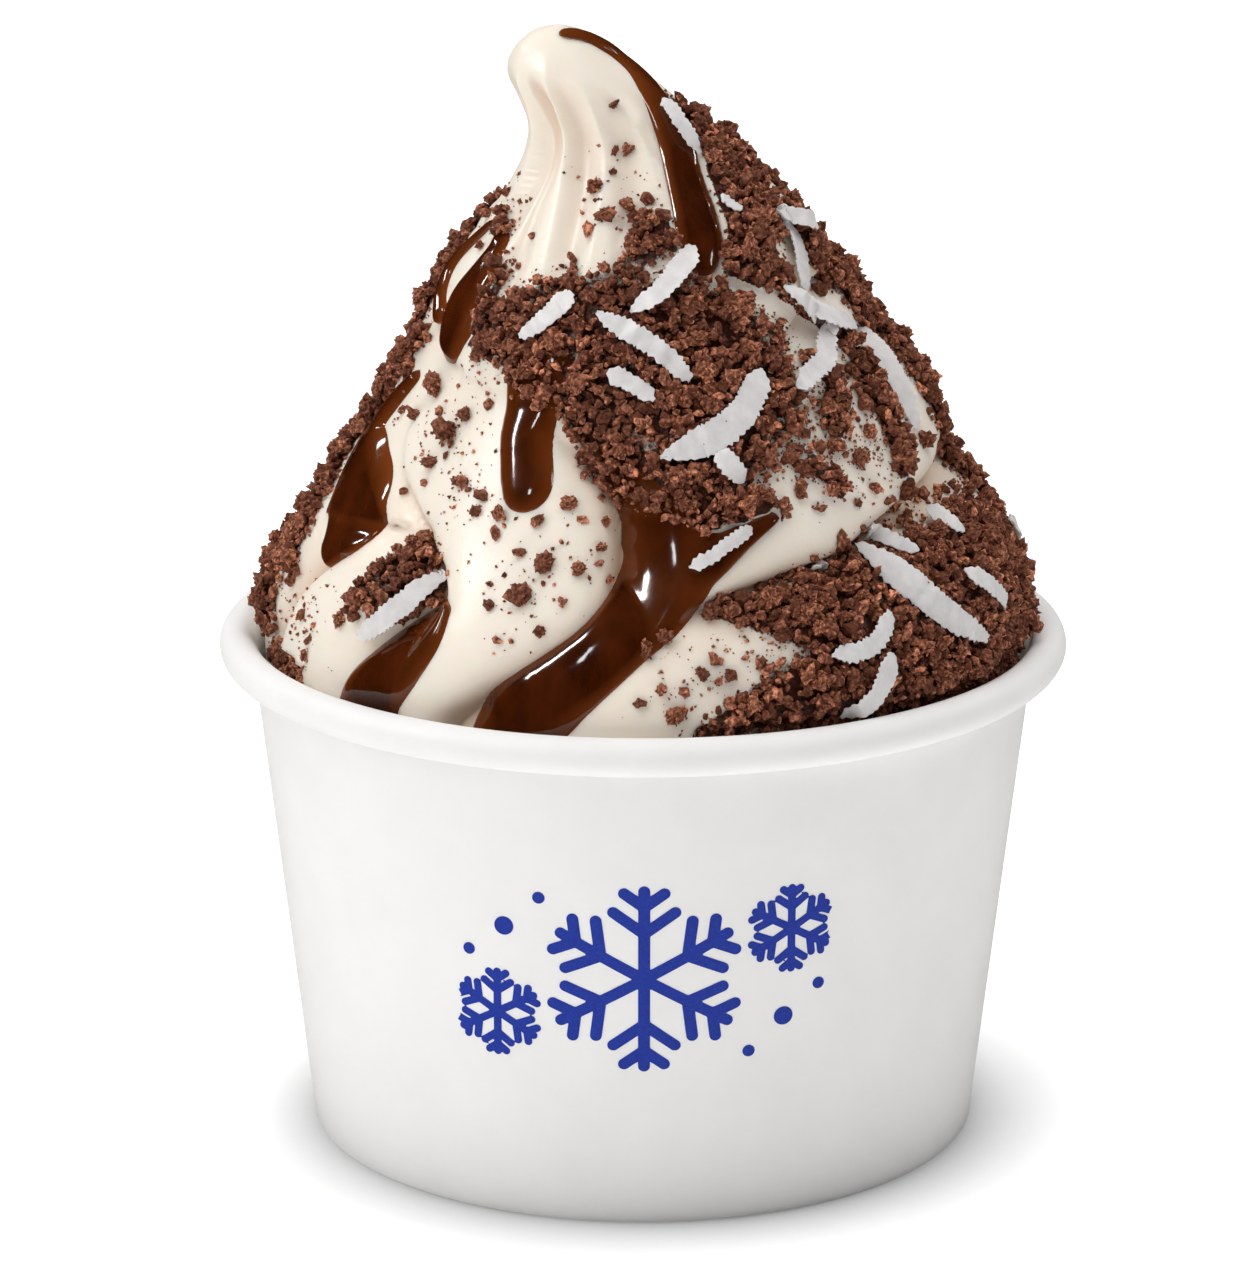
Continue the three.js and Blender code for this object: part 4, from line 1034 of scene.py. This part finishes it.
def with_round_end(form, line):
    """A run's line, carried on past its end while its width shrinks in a half circle."""
    last, before = line[-1], line[-3]
    width = max(np.interp(last[1], form.heights, form.width), 2)
    ahead = np.array([math.radians(last[0] - before[0]) * width, (last[1] - before[1]) * CONE_STRETCH])
    ahead /= np.linalg.norm(ahead)
    turn = np.linspace(0, math.radians(86), END_STEPS)[1:]
    reach = last[2] * np.sin(turn)
    extra = np.stack([last[0] + np.degrees(ahead[0] * reach / width),
                      last[1] + ahead[1] * reach / CONE_STRETCH, last[2] * np.cos(turn)], axis=1)
    fullness = np.concatenate([np.ones(len(line)), np.cos(turn)])
    return np.vstack([line, extra]), fullness


def sauce_run(form, path, settings):
    """A closed run of sauce that fills the fold it lies in and bulges in the middle."""
    line, fullness = with_round_end(form, smooth_line(path, 9))
    half = line[:, 2:3]
    angle, height = form.beside(line, half * SAUCE_SHARES[None, :])
    radius = form.sample(form.radius, angle, height)
    chord = radius[:, :1] + (radius[:, -1:] - radius[:, :1]) * (SAUCE_SHARES[None, :] + 1) / 2
    fill = (1 - np.abs(SAUCE_SHARES[None, :]) ** 2.5) ** 0.5 * fullness[:, None]
    crown = np.minimum(settings.crown / MM, half / 2) * fill
    top = np.maximum(radius + settings.depth / MM * fill, chord + crown) - SAUCE_SUNK * (1 - fill)
    upper = form.place(angle, height, top)
    under = form.place(angle, height, radius - 2 * SAUCE_SUNK)
    rings = np.concatenate([upper, under[:, -2:0:-3]], axis=1)
    return closed_skin(rings)


# --- Coconut flakes ---
FLAKE_STEP = 0.15
FLAKE_SHARES = np.array([-1, -0.8, 0, 0.8, 1])


def flake_mesh(form, tree, flake, thickness, tooth, rng):
    """A thin curved flake with toothed edges, which lies on what is under it."""
    (angle0, height0), (angle1, height1), width, bow, *lean = flake
    middle = form.place(np.array([angle0, angle1]), np.array([height0, height1]),
                        form.sample(form.radius, [angle0, angle1], [height0, height1]))
    length = np.linalg.norm(middle[1] - middle[0])
    count = max(int(length / FLAKE_STEP), 10)
    t = np.linspace(0, 1, count)
    line = np.stack([angle0 + (angle1 - angle0) * t, height0 + (height1 - height0) * t, 0 * t], axis=1)
    bowed = (bow * np.sin(math.pi * t))[:, None]
    angle, height = form.beside(line, bowed)
    angle, height = angle[:, 0], height[:, 0]
    normal = form.sample(form.normals, angle, height)
    normal = np.array([normal.mean(0)] * count) * 0.5 + normal * 0.5
    normal /= np.linalg.norm(normal, axis=1, keepdims=True)
    base = form.place(angle, height, form.sample(form.bed, angle, height))
    lifts = []
    for point, up in zip(base, normal):
        hit = tree.ray_cast(Vector(point + up * 8), Vector(-up))[0]
        lifts.append(0.0 if hit is None else (np.array(hit) - point) @ up)
    lifts = np.array(lifts)
    fit = np.polyval(np.polyfit(t, lifts, 2), t)
    cover = form.sample(form.cover, angle, height).mean()
    rest = fit + np.percentile(lifts - fit, 75) + 0.35 + 0.9 * cover
    arch = rng.uniform(-0.3, 0.8) * (1 - (2 * t - 1) ** 2)
    centre = base + normal * (rest + arch)[:, None]
    along = np.gradient(centre, axis=0)
    along /= np.linalg.norm(along, axis=1, keepdims=True)
    side = np.cross(along, normal)
    side /= np.linalg.norm(side, axis=1, keepdims=True)
    roll = rng.uniform(-0.35, 0.35) + rng.uniform(-0.35, 0.35) * (t - 0.5) + sum(lean)
    flat = side * np.cos(roll)[:, None] + normal * np.sin(roll)[:, None]
    up = np.cross(flat, along)
    ends = np.clip(np.minimum(t, 1 - t) / 0.09, 0, 1)
    blunt, short = rng.uniform(0.1, 0.5, 2), rng.uniform(0.12, 0.38, 2)
    taper = np.ones(count)
    for end, share, from_end in zip(blunt, short, (t, 1 - t)):
        taper = taper * (end + (1 - end) * np.sin(math.pi / 2 * np.clip(from_end / share, 0, 1)))
    edges = []
    for phase in rng.uniform(0, 6.28, 2):
        places = np.cumsum(rng.uniform(0.2, 0.5, int(length * 5)))
        depths = tooth * rng.uniform(0.1, 1, len(places)) * np.where(np.arange(len(places)) % 2, 1, -1)
        wander = 0.07 * width * np.sin(rng.uniform(3, 7) * t + phase)
        edges.append(np.maximum(width / 2 * taper + np.interp(t * length, places, depths) + wander, 0.12))
    shares = FLAKE_SHARES[None, :]
    reach = shares * np.where(shares < 0, edges[0][:, None], edges[1][:, None])
    cup = rng.uniform(0.05, 0.3) * shares ** 2 * width / 3
    surface = centre[:, None] + flat[:, None] * reach[..., None] + up[:, None] * cup[..., None]
    half = thickness / 2 * np.where(np.abs(shares) < 1, 1, 0.35) * (0.7 + 0.3 * ends[:, None])
    upper = surface + up[:, None] * half[..., None]
    lower = surface - up[:, None] * half[..., None]
    rings = np.concatenate([upper[:, ::-1], lower], axis=1)
    return closed_skin(rings)


def joined(parts):
    """Points and faces of several closed skins as one."""
    points, faces = [], []
    total = 0
    for part_points, part_faces in parts:
        points.append(part_points)
        faces += [tuple(i + total for i in face) for face in part_faces]
        total += len(part_points)
    return np.vstack(points), faces


# --- Crumbs ---
GRAIN_SHAPES = 14  # different shapes among the grains of one kind


def ball(level):
    """Points and triangles of an even ball, the coarsest with eight faces."""
    if level == 0:
        axes = np.eye(3)
        faces = [(0, 1, 2), (1, 3, 2), (3, 4, 2), (4, 0, 2), (1, 0, 5), (3, 1, 5), (4, 3, 5), (0, 4, 5)]
        return np.concatenate([axes, -axes]), np.array(faces)
    shape = bmesh.new()
    bmesh.ops.create_icosphere(shape, subdivisions=level, radius=1)
    points = np.array([v.co[:] for v in shape.verts])
    faces = np.array([[v.index for v in f.verts] for f in shape.faces])
    shape.free()
    return points, faces


def grain_shapes(level, count, rng):
    """Craggy grains, whose points stand out of an uneven core: shapes with each point's reach, and faces."""
    points, faces = ball(level)
    coarser = ball(level - 1)[0] if level > 1 else points
    spiky = np.linalg.norm(points[:, None] - coarser[None], axis=-1).min(1) < 0.02
    shapes = []
    for _ in range(count):
        spikes, core = rng.uniform(0.75, 1.15, len(points)), rng.uniform(0.6, 0.95, len(points))
        reach = np.where(spiky, spikes, core)
        if level < 2:
            reach = rng.uniform(0.6, 1.3, len(points))
        lumps = 1 + 0.16 * np.sin(points @ rng.normal(0, 2.4, (3, 3)) + rng.uniform(0, 6.28, 3)).sum(1)
        stretch = rng.uniform(0.65, 1.25, 3)
        shapes.append((points * (reach * lumps)[:, None] * stretch, reach))
    return shapes, faces


def random_turns(count, rng):
    """Random rotation matrices."""
    q = rng.normal(size=(count, 4))
    w, x, y, z = (q / np.linalg.norm(q, axis=1, keepdims=True)).T
    return np.stack([
        np.stack([1 - 2 * (y * y + z * z), 2 * (x * y - z * w), 2 * (x * z + y * w)], -1),
        np.stack([2 * (x * y + z * w), 1 - 2 * (x * x + z * z), 2 * (y * z - x * w)], -1),
        np.stack([2 * (x * z - y * w), 2 * (y * z + x * w), 1 - 2 * (x * x + y * y)], -1),
    ], axis=1)


def grains_piece(name, level, centres, sizes, light, rng):
    """One piece of craggy grains at the given centres, each with a random tone times a painted shade, darker
    deep in a bed.
    """
    shapes, faces = grain_shapes(level, GRAIN_SHAPES, rng)
    pick = rng.integers(len(shapes), size=len(centres))
    unit = np.array([shape for shape, _ in shapes])[pick]
    reach = np.array([r for _, r in shapes])[pick]
    turned_shapes = np.einsum("nij,nvj->nvi", random_turns(len(centres), rng), unit)
    points = turned_shapes * sizes[:, None, None] + centres[:, None]
    count = unit.shape[1]
    all_faces = faces[None] + (np.arange(len(centres)) * count)[:, None, None]
    piece = new_piece(name, points.reshape(-1, 3), all_faces.reshape(-1, 3), smooth=False)
    # Painted light and shade on each grain: its outer points paler, its inner ones darker.
    point_values(piece, "point", (reach - 0.55) / 0.75)
    point_values(piece, "shade", np.repeat(light * rng.uniform(0.5, 1.35, len(centres)), count))
    return piece


def scatter(form, weight, count, rng):
    """Random places (angle, height) on the swirl, as thick as a field of weights says."""
    share = (weight * form.cell_area).ravel()
    cells = rng.choice(share.size, size=count, p=share / share.sum())
    rows, columns = np.unravel_index(cells, form.shape)
    height_steps = np.gradient(form.heights)
    height = form.heights[rows] + (rng.random(count) - 0.5) * height_steps[rows]
    angle = form.angles[columns] + (rng.random(count) - 0.5) * 360 / COLUMNS
    return angle, np.clip(height, SHOULDER, TIP - 0.1)


def settle(form, tree, angle, height, lift):
    """Centres of grains so far above the surface that lies at each place."""
    normal = form.sample(form.normals, angle, height)
    normal /= np.linalg.norm(normal, axis=1, keepdims=True)
    base = form.place(angle, height, form.sample(form.radius, angle, height))
    centres = []
    for point, up, rise in zip(base, normal, lift):
        hit = tree.ray_cast(Vector(point + up * 7), Vector(-up), 9)[0]
        centres.append((point if hit is None else np.array(hit)) + up * rise)
    return np.array(centres)


def clear_of(tree, centres, sizes, gap=0.75):
    """Which grains keep clear of the faces of a tree."""
    return np.array([tree.find_nearest(Vector(c), gap * s)[0] is None for c, s in zip(centres, sizes)])


def kept_in_cup(centres, sizes):
    """The centres of grains, pressed into the yogurt where they would touch the wall or the rolled rim."""
    radius = np.hypot(centres[:, 0], centres[:, 1])
    low = centres[:, 2] < CUP_HEIGHT + 1.2 * sizes
    share = np.where(low, np.minimum((room_in_cup(centres[:, 2]) - 1.25 * sizes) / radius, 1), 1)
    return centres * np.stack([share, share, np.ones(len(share))], axis=1)


# --- Operators ---
# The view's width and height, and its lens, in pixels. The sensor is in millimetres.
VIEW_PIXELS = (1240, 1268)
FOCAL_PIXELS = 5766.1
SENSOR_WIDTH = 36
CAMERA_AIM = (-2.607, 0, 56.239)  # millimetres

# Softboxes that only give highlights: name, degrees from the front and above the ground, width and height in
# metres, the setting of their power, and the tint. They look at one point, from the same distance in metres.
SOFTBOX_AIM = (0, 0, 0.075)
SOFTBOX_DISTANCE = 0.75
SOFTBOXES = [
    ("key_softbox", -76, 42, (0.07, 0.22), "key_power", (1, 0.985, 0.965)),
    ("fill_softbox", 70, 30, (0.05, 0.2), "fill_power", (0.95, 0.97, 1)),
    ("left_edge", -128, 34, (0.05, 0.16), "edge_power", (1, 1, 1)),
    ("right_edge", 116, 34, (0.05, 0.16), "edge_power", (1, 1, 1)),
    ("window", -36, 38, (0.045, 0.11), "window_power", (0.95, 0.97, 1)),
]

# A shadow is painted on the floor round the cup: close to it the floor is painted dark and does not glow,
# further out it is pale and glows, a painted light that whitens the shadows cast there. The middle of the
# painted shadow's ring in millimetres, and its inner and outer radius in metres.
FLOOR_HALF = 4000  # millimetres
PAINTED_SHADOW_MIDDLE = (0, -1.5, 0)
PAINTED_SHADOW_RING = (0.037, 0.053)


class YOGURTCUP_OT_stage(bpy.types.Operator):
    """Sets up the camera, the soft studio lights and the pale floor with a shadow painted round the cup"""

    bl_idname = "yogurt_cup.stage"
    bl_label = "Stage"

    def execute(self, context):
        settings = context.scene.yogurt_cup_stage
        self.camera(context, settings)
        self.floor()
        world = bpy.data.worlds.new("studio_room")
        world.use_nodes = True
        background = world.node_tree.nodes["Background"]
        background.inputs["Color"].default_value = (1.0, 0.995, 0.985, 1)
        background.inputs["Strength"].default_value = settings.room
        world.cycles_visibility.glossy = False
        context.scene.world = world
        self.sky("ceiling", 150, 74, 80, settings.ceiling)
        self.sky("left_wall", -66, 44, 58, settings.left_wall)
        for name, azimuth, elevation, size, setting, tint in SOFTBOXES:
            self.softbox(name, azimuth, elevation, size, getattr(settings, setting), tint)
        context.scene.view_settings.view_transform = "Standard"
        return {"FINISHED"}

    def camera(self, context, settings):
        camera = bpy.data.cameras.new("camera")
        camera.sensor_width = SENSOR_WIDTH
        camera.lens = FOCAL_PIXELS / max(VIEW_PIXELS) * SENSOR_WIDTH
        view = bpy.data.objects.new("camera", camera)
        context.scene.collection.objects.link(view)
        aim = Vector(CAMERA_AIM) * MM
        back = Vector((0, -math.cos(settings.camera_pitch), math.sin(settings.camera_pitch)))
        view.location = aim + back * settings.camera_distance
        view.rotation_euler = (-back).to_track_quat("-Z", "Y").to_euler()
        context.scene.camera = view

    def softbox(self, name, azimuth, elevation, size, watts, tint):
        """A softbox that only gives highlights."""
        away = self.away(azimuth, elevation)
        light = bpy.data.lights.new(name, "AREA")
        light.shape = "RECTANGLE"
        light.size, light.size_y = size
        light.energy = watts
        light.color = tint
        box = bpy.data.objects.new(name, light)
        box.location = Vector(SOFTBOX_AIM) + away * SOFTBOX_DISTANCE
        box.rotation_euler = (-away).to_track_quat("-Z", "Y").to_euler()
        box.visible_diffuse = False
        bpy.context.scene.collection.objects.link(box)

    def sky(self, name, azimuth, elevation, spread, strength):
        """Broad soft light without highlights: degrees from the front, above the ground and across."""
        light = bpy.data.lights.new(name, "SUN")
        light.energy = strength
        light.angle = math.radians(spread)
        patch = bpy.data.objects.new(name, light)
        patch.rotation_euler = (-self.away(azimuth, elevation)).to_track_quat("-Z", "Y").to_euler()
        patch.visible_glossy = False
        bpy.context.scene.collection.objects.link(patch)

    def away(self, azimuth, elevation):
        """The direction towards a light."""
        side, up = math.radians(azimuth), math.radians(elevation)
        return Vector((math.sin(side) * math.cos(up), -math.cos(side) * math.cos(up), math.sin(up)))

    def floor(self):
        corners = [(x * FLOOR_HALF, y * FLOOR_HALF, 0) for x, y in ((-1, -1), (1, -1), (1, 1), (-1, 1))]
        floor = new_piece("floor", corners, [(0, 1, 2, 3)])
        shader = Shader("floor_paint")
        grain = shader.speckle(40, detail=2)
        middle = tuple(c * MM for c in PAINTED_SHADOW_MIDDLE)
        offset = shader.add("ShaderNodeVectorMath", {0: shader.place(), 1: middle}, operation="SUBTRACT")
        away = shader.add("ShaderNodeVectorMath", {0: offset.outputs["Vector"]}, operation="LENGTH")
        # Painted shadow: how far out of the ring a point lies, which lightens the floor's colour and turns on
        # its painted glow.
        clear = shader.maths("POWER", shader.span(away.outputs["Value"], *PAINTED_SHADOW_RING), 0.5)
        pale = shader.blend(grain, (0.93, 0.93, 0.93, 1), (0.95, 0.95, 0.95, 1))
        shader.fill(shader.surface, {
            "Base Color": shader.blend(clear, (0.42, 0.42, 0.42, 1), pale),
            "Roughness": 0.9, "Specular IOR Level": 0.1, "Emission Color": (1, 1, 1, 1),
            "Emission Strength": shader.maths("MULTIPLY", clear, 0.32)})
        floor.visible_glossy = False
        floor.data.materials.append(shader.material)


class YOGURTCUP_OT_paper_cup(bpy.types.Operator):
    """Makes the paper cup: the wall with its hem, side seam and rolled rim, and the recessed base"""

    bl_idname = "yogurt_cup.paper_cup"
    bl_label = "Paper cup"

    def execute(self, context):
        settings = context.scene.yogurt_cup_paper
        paper = paper_material(settings)
        wall = turned("paper_wall", paper_outline(wall_path()), side_seam(settings))
        finish_piece(wall, paper, "paper", "cup_wall")
        base = turned("paper_base", paper_outline(base_path()), no_seam)
        finish_piece(base, paper, "paper", "cup_base")
        return {"FINISHED"}


class YOGURTCUP_OT_print(bpy.types.Operator):
    """Prints snow crystals on the front of the wall"""

    bl_idname = "yogurt_cup.print"
    bl_label = "Print"

    def execute(self, context):
        settings = context.scene.yogurt_cup_paper
        strokes = motif_strokes(settings.motif_size / MM)
        flat, faces = motif_mesh(strokes, settings.motif_size / MM)
        height = settings.motif_height / MM + flat[:, 1] * math.cos(WALL_LEAN)
        surface = wall_radius(height) + PAPER / 2 / math.cos(WALL_LEAN)
        angle = flat[:, 0] / surface
        layers = []
        for out in (PRINT_THICKNESS, -PRINT_THICKNESS):
            reach = surface + out
            layers.append(np.stack([reach * np.sin(angle), -reach * np.cos(angle), height], axis=-1))
        count = len(flat)
        edges = np.concatenate([faces[:, [i, (i + 1) % 4]] for i in range(4)])
        known = {tuple(edge) for edge in edges.tolist()}
        rim = [(a, b) for a, b in known if (b, a) not in known]
        quads = faces.tolist() + (faces[:, ::-1] + count).tolist()
        quads += [(b, a, a + count, b + count) for a, b in rim]
        piece = new_piece("print_crystals", np.vstack(layers), quads, smooth=False)
        finish_piece(piece, print_material(settings), "print")
        return {"FINISHED"}


class YOGURTCUP_OT_yogurt(bpy.types.Operator):
    """Makes the swirl of yogurt with its folds, the peak's grooves and beads, and the relief under crumbs"""

    bl_idname = "yogurt_cup.yogurt"
    bl_label = "Frozen yogurt"

    def execute(self, context):
        form = swirl()
        rings, below = yogurt_rings(form)
        points, faces = closed_skin(rings)
        points[-1] = (form.lean[-1], 0, TIP)
        piece = new_piece("yogurt_swirl", points, faces)
        # The fold values are a painted shade: the deeper the fold, the more of the fold shade colour.
        fold = np.clip(form.fold / FOLD_SHADE_FULL, 0, 1) ** 1.3
        for name, field in (("fold", fold), ("cover", form.cover)):
            values = np.concatenate([np.zeros(below * COLUMNS), field.ravel(), [0, 0]])
            point_values(piece, name, values)
        material = yogurt_material(context.scene.yogurt_cup_yogurt, context.scene.yogurt_cup_crumb)
        finish_piece(piece, material, "yogurt", "frozen_yogurt")
        return {"FINISHED"}


class YOGURTCUP_OT_sauce(bpy.types.Operator):
    """Pours the chocolate sauce into the folds"""

    bl_idname = "yogurt_cup.sauce"
    bl_label = "Chocolate sauce"

    def execute(self, context):
        settings = context.scene.yogurt_cup_sauce
        form = swirl()
        piece = new_piece("chocolate_sauce", *joined(sauce_run(form, path, settings) for path in SAUCE_RUNS))
        remesh = piece.modifiers.new("melt", "REMESH")
        remesh.mode = "VOXEL"
        remesh.voxel_size = SAUCE_VOXEL * MM
        soften = piece.modifiers.new("soften", "SMOOTH")
        soften.factor = 0.5
        soften.iterations = SAUCE_SMOOTHINGS
        apply_modifiers(piece)
        tree = search_tree("yogurt_swirl")
        points, _ = mesh_arrays(piece)
        thickness = [tree.find_nearest(Vector(p), SAUCE_DEEP)[3] or SAUCE_DEEP for p in points]
        point_values(piece, "thickness", thickness)
        piece.data.polygons.foreach_set("use_smooth", np.full(len(piece.data.polygons), True))
        finish_piece(piece, sauce_material(settings), "chocolate_sauce")
        return {"FINISHED"}


class YOGURTCUP_OT_coconut(bpy.types.Operator):
    """Lays the coconut flakes on the yogurt, the sauce and the crumbs"""

    bl_idname = "yogurt_cup.coconut"
    bl_label = "Coconut flakes"

    def execute(self, context):
        settings = context.scene.yogurt_cup_coconut
        rng = np.random.default_rng(settings.seed)
        form = swirl()
        tree = search_tree("yogurt_swirl", "chocolate_sauce")
        flakes = [flake_mesh(form, tree, flake, settings.thickness / MM, settings.tooth / MM, rng)
                  for flake in FLAKES]
        piece = new_piece("coconut_flakes", *joined(flakes))
        piece.data.set_sharp_from_angle(angle=math.radians(42))
        finish_piece(piece, coconut_material(settings), "coconut")
        return {"FINISHED"}


class YOGURTCUP_OT_crumbs(bpy.types.Operator):
    """Strews the chocolate crumbs: thick beds, clumps, single grains and dust"""

    bl_idname = "yogurt_cup.crumbs"
    bl_label = "Chocolate crumbs"

    def execute(self, context):
        settings = context.scene.yogurt_cup_crumb
        rng = np.random.default_rng(settings.seed)
        form = swirl()
        ground = search_tree("yogurt_swirl", "chocolate_sauce")
        flakes = search_tree("coconut_flakes")
        material = crumb_material(settings)
        heap = settings.heap / MM
        patches = self.patches(form)
        bed = np.clip((form.cover - 0.1) / 0.9, 0, 1)
        fringe = bed * (1 - bed)
        kinds = (
            ("crumb_bed", 1, 9900, (0.32, 0.72), bed ** 1.2 + 0.1 * patches, 0.6),
            ("crumb_grains", 2, 2400, (0.55, 1.05), bed ** 1.5 + 0.25 * fringe + 0.25 * patches, 0.8),
            ("crumb_dust", 0, 6500, (0.09, 0.32), patches ** 2 + 0.25 * patches + 1.2 * fringe ** 1.3, 0.0),
        )
        for name, level, count, (small, large), weight, share in kinds:
            angle, height = scatter(form, weight, count, rng)
            sizes = small + (large - small) * rng.random(count) ** 1.8
            cover = form.sample(form.cover, angle, height)
            rise = rng.random(count)
            # Painted shade: grains lying deep in a bed get a darker colour.
            light = 1 - 0.7 * (1 - rise) * cover
            lift = 0.3 * sizes + heap * share * cover * rise
            centres = settle(form, ground, angle, height, lift)
            centres = kept_in_cup(centres, sizes)
            keep = clear_of(flakes, centres, sizes)
            piece = grains_piece(name, level, centres[keep], sizes[keep], light[keep], rng)
            finish_piece(piece, material, "chocolate_crumbs")
        self.clumps(form, ground, flakes, heap, material, rng)
        return {"FINISHED"}

    def patches(self, form):
        """How thickly single grains lie."""
        field = np.zeros(form.shape)
        for angle, height, reach, thick in CRUMB_PATCHES:
            turn = np.radians((form.angles - angle + 180) % 360 - 180)[None, :] * form.width[:, None]
            rise = (form.heights[:, None] - height) * CONE_STRETCH
            field = np.maximum(field, thick * np.exp(-(turn ** 2 + rise ** 2) / reach ** 2))
        return np.where(field > 0.02, field, 0) * form.bare

    def clumps(self, form, ground, flakes, heap, material, rng):
        """The named clumps, and more of them over the beds."""
        angle, height, sizes = np.array(CRUMB_CLUMPS, float).T
        bed_angle, bed_height = scatter(form, np.clip(form.cover - 0.45, 0, 1), CLUMPS_ON_BEDS, rng)
        bed_sizes = 0.75 + 0.7 * rng.random(CLUMPS_ON_BEDS) ** 2
        cover = form.sample(form.cover, bed_angle, bed_height)
        angle, height = np.concatenate([angle, bed_angle]), np.concatenate([height, bed_height])
        lift = np.concatenate([0.35 * sizes, 0.2 * bed_sizes + 0.7 * heap * cover])
        sizes = np.concatenate([sizes, bed_sizes])
        centres = settle(form, ground, angle, height, lift)
        centres = kept_in_cup(centres, sizes)
        keep = clear_of(flakes, centres, sizes, 1.0)
        piece = grains_piece("crumb_clumps", 3, centres[keep], 0.9 * sizes[keep], 1.0, rng)
        finish_piece(piece, material, "chocolate_crumbs")


STEPS = (YOGURTCUP_OT_paper_cup, YOGURTCUP_OT_print, YOGURTCUP_OT_yogurt, YOGURTCUP_OT_sauce,
         YOGURTCUP_OT_coconut, YOGURTCUP_OT_crumbs, YOGURTCUP_OT_stage)


class YOGURTCUP_PT_panel(bpy.types.Panel):
    """Lists the steps and their settings in the sidebar"""

    bl_idname = "YOGURTCUP_PT_panel"
    bl_label = "Yogurt cup"
    bl_space_type = "VIEW_3D"
    bl_region_type = "UI"
    bl_category = "Yogurt cup"

    def draw(self, context):
        for step in STEPS:
            self.layout.operator(step.bl_idname)
        for name, group in SETTINGS.items():
            box = self.layout.box()
            box.label(text=group.__doc__)
            for setting in group.__annotations__:
                box.prop(getattr(context.scene, name), setting)


CLASSES = (*SETTINGS.values(), *STEPS, YOGURTCUP_PT_panel)


def register():
    for item in CLASSES:
        bpy.utils.register_class(item)
    for name, group in SETTINGS.items():
        setattr(bpy.types.Scene, name, PointerProperty(type=group))


def unregister():
    for name in SETTINGS:
        delattr(bpy.types.Scene, name)
    for item in reversed(CLASSES):
        bpy.utils.unregister_class(item)


def main():
    register()
    for step in STEPS:
        group, action = step.bl_idname.split(".")
        getattr(getattr(bpy.ops, group), action)()


if __name__ == "__main__":
    main()
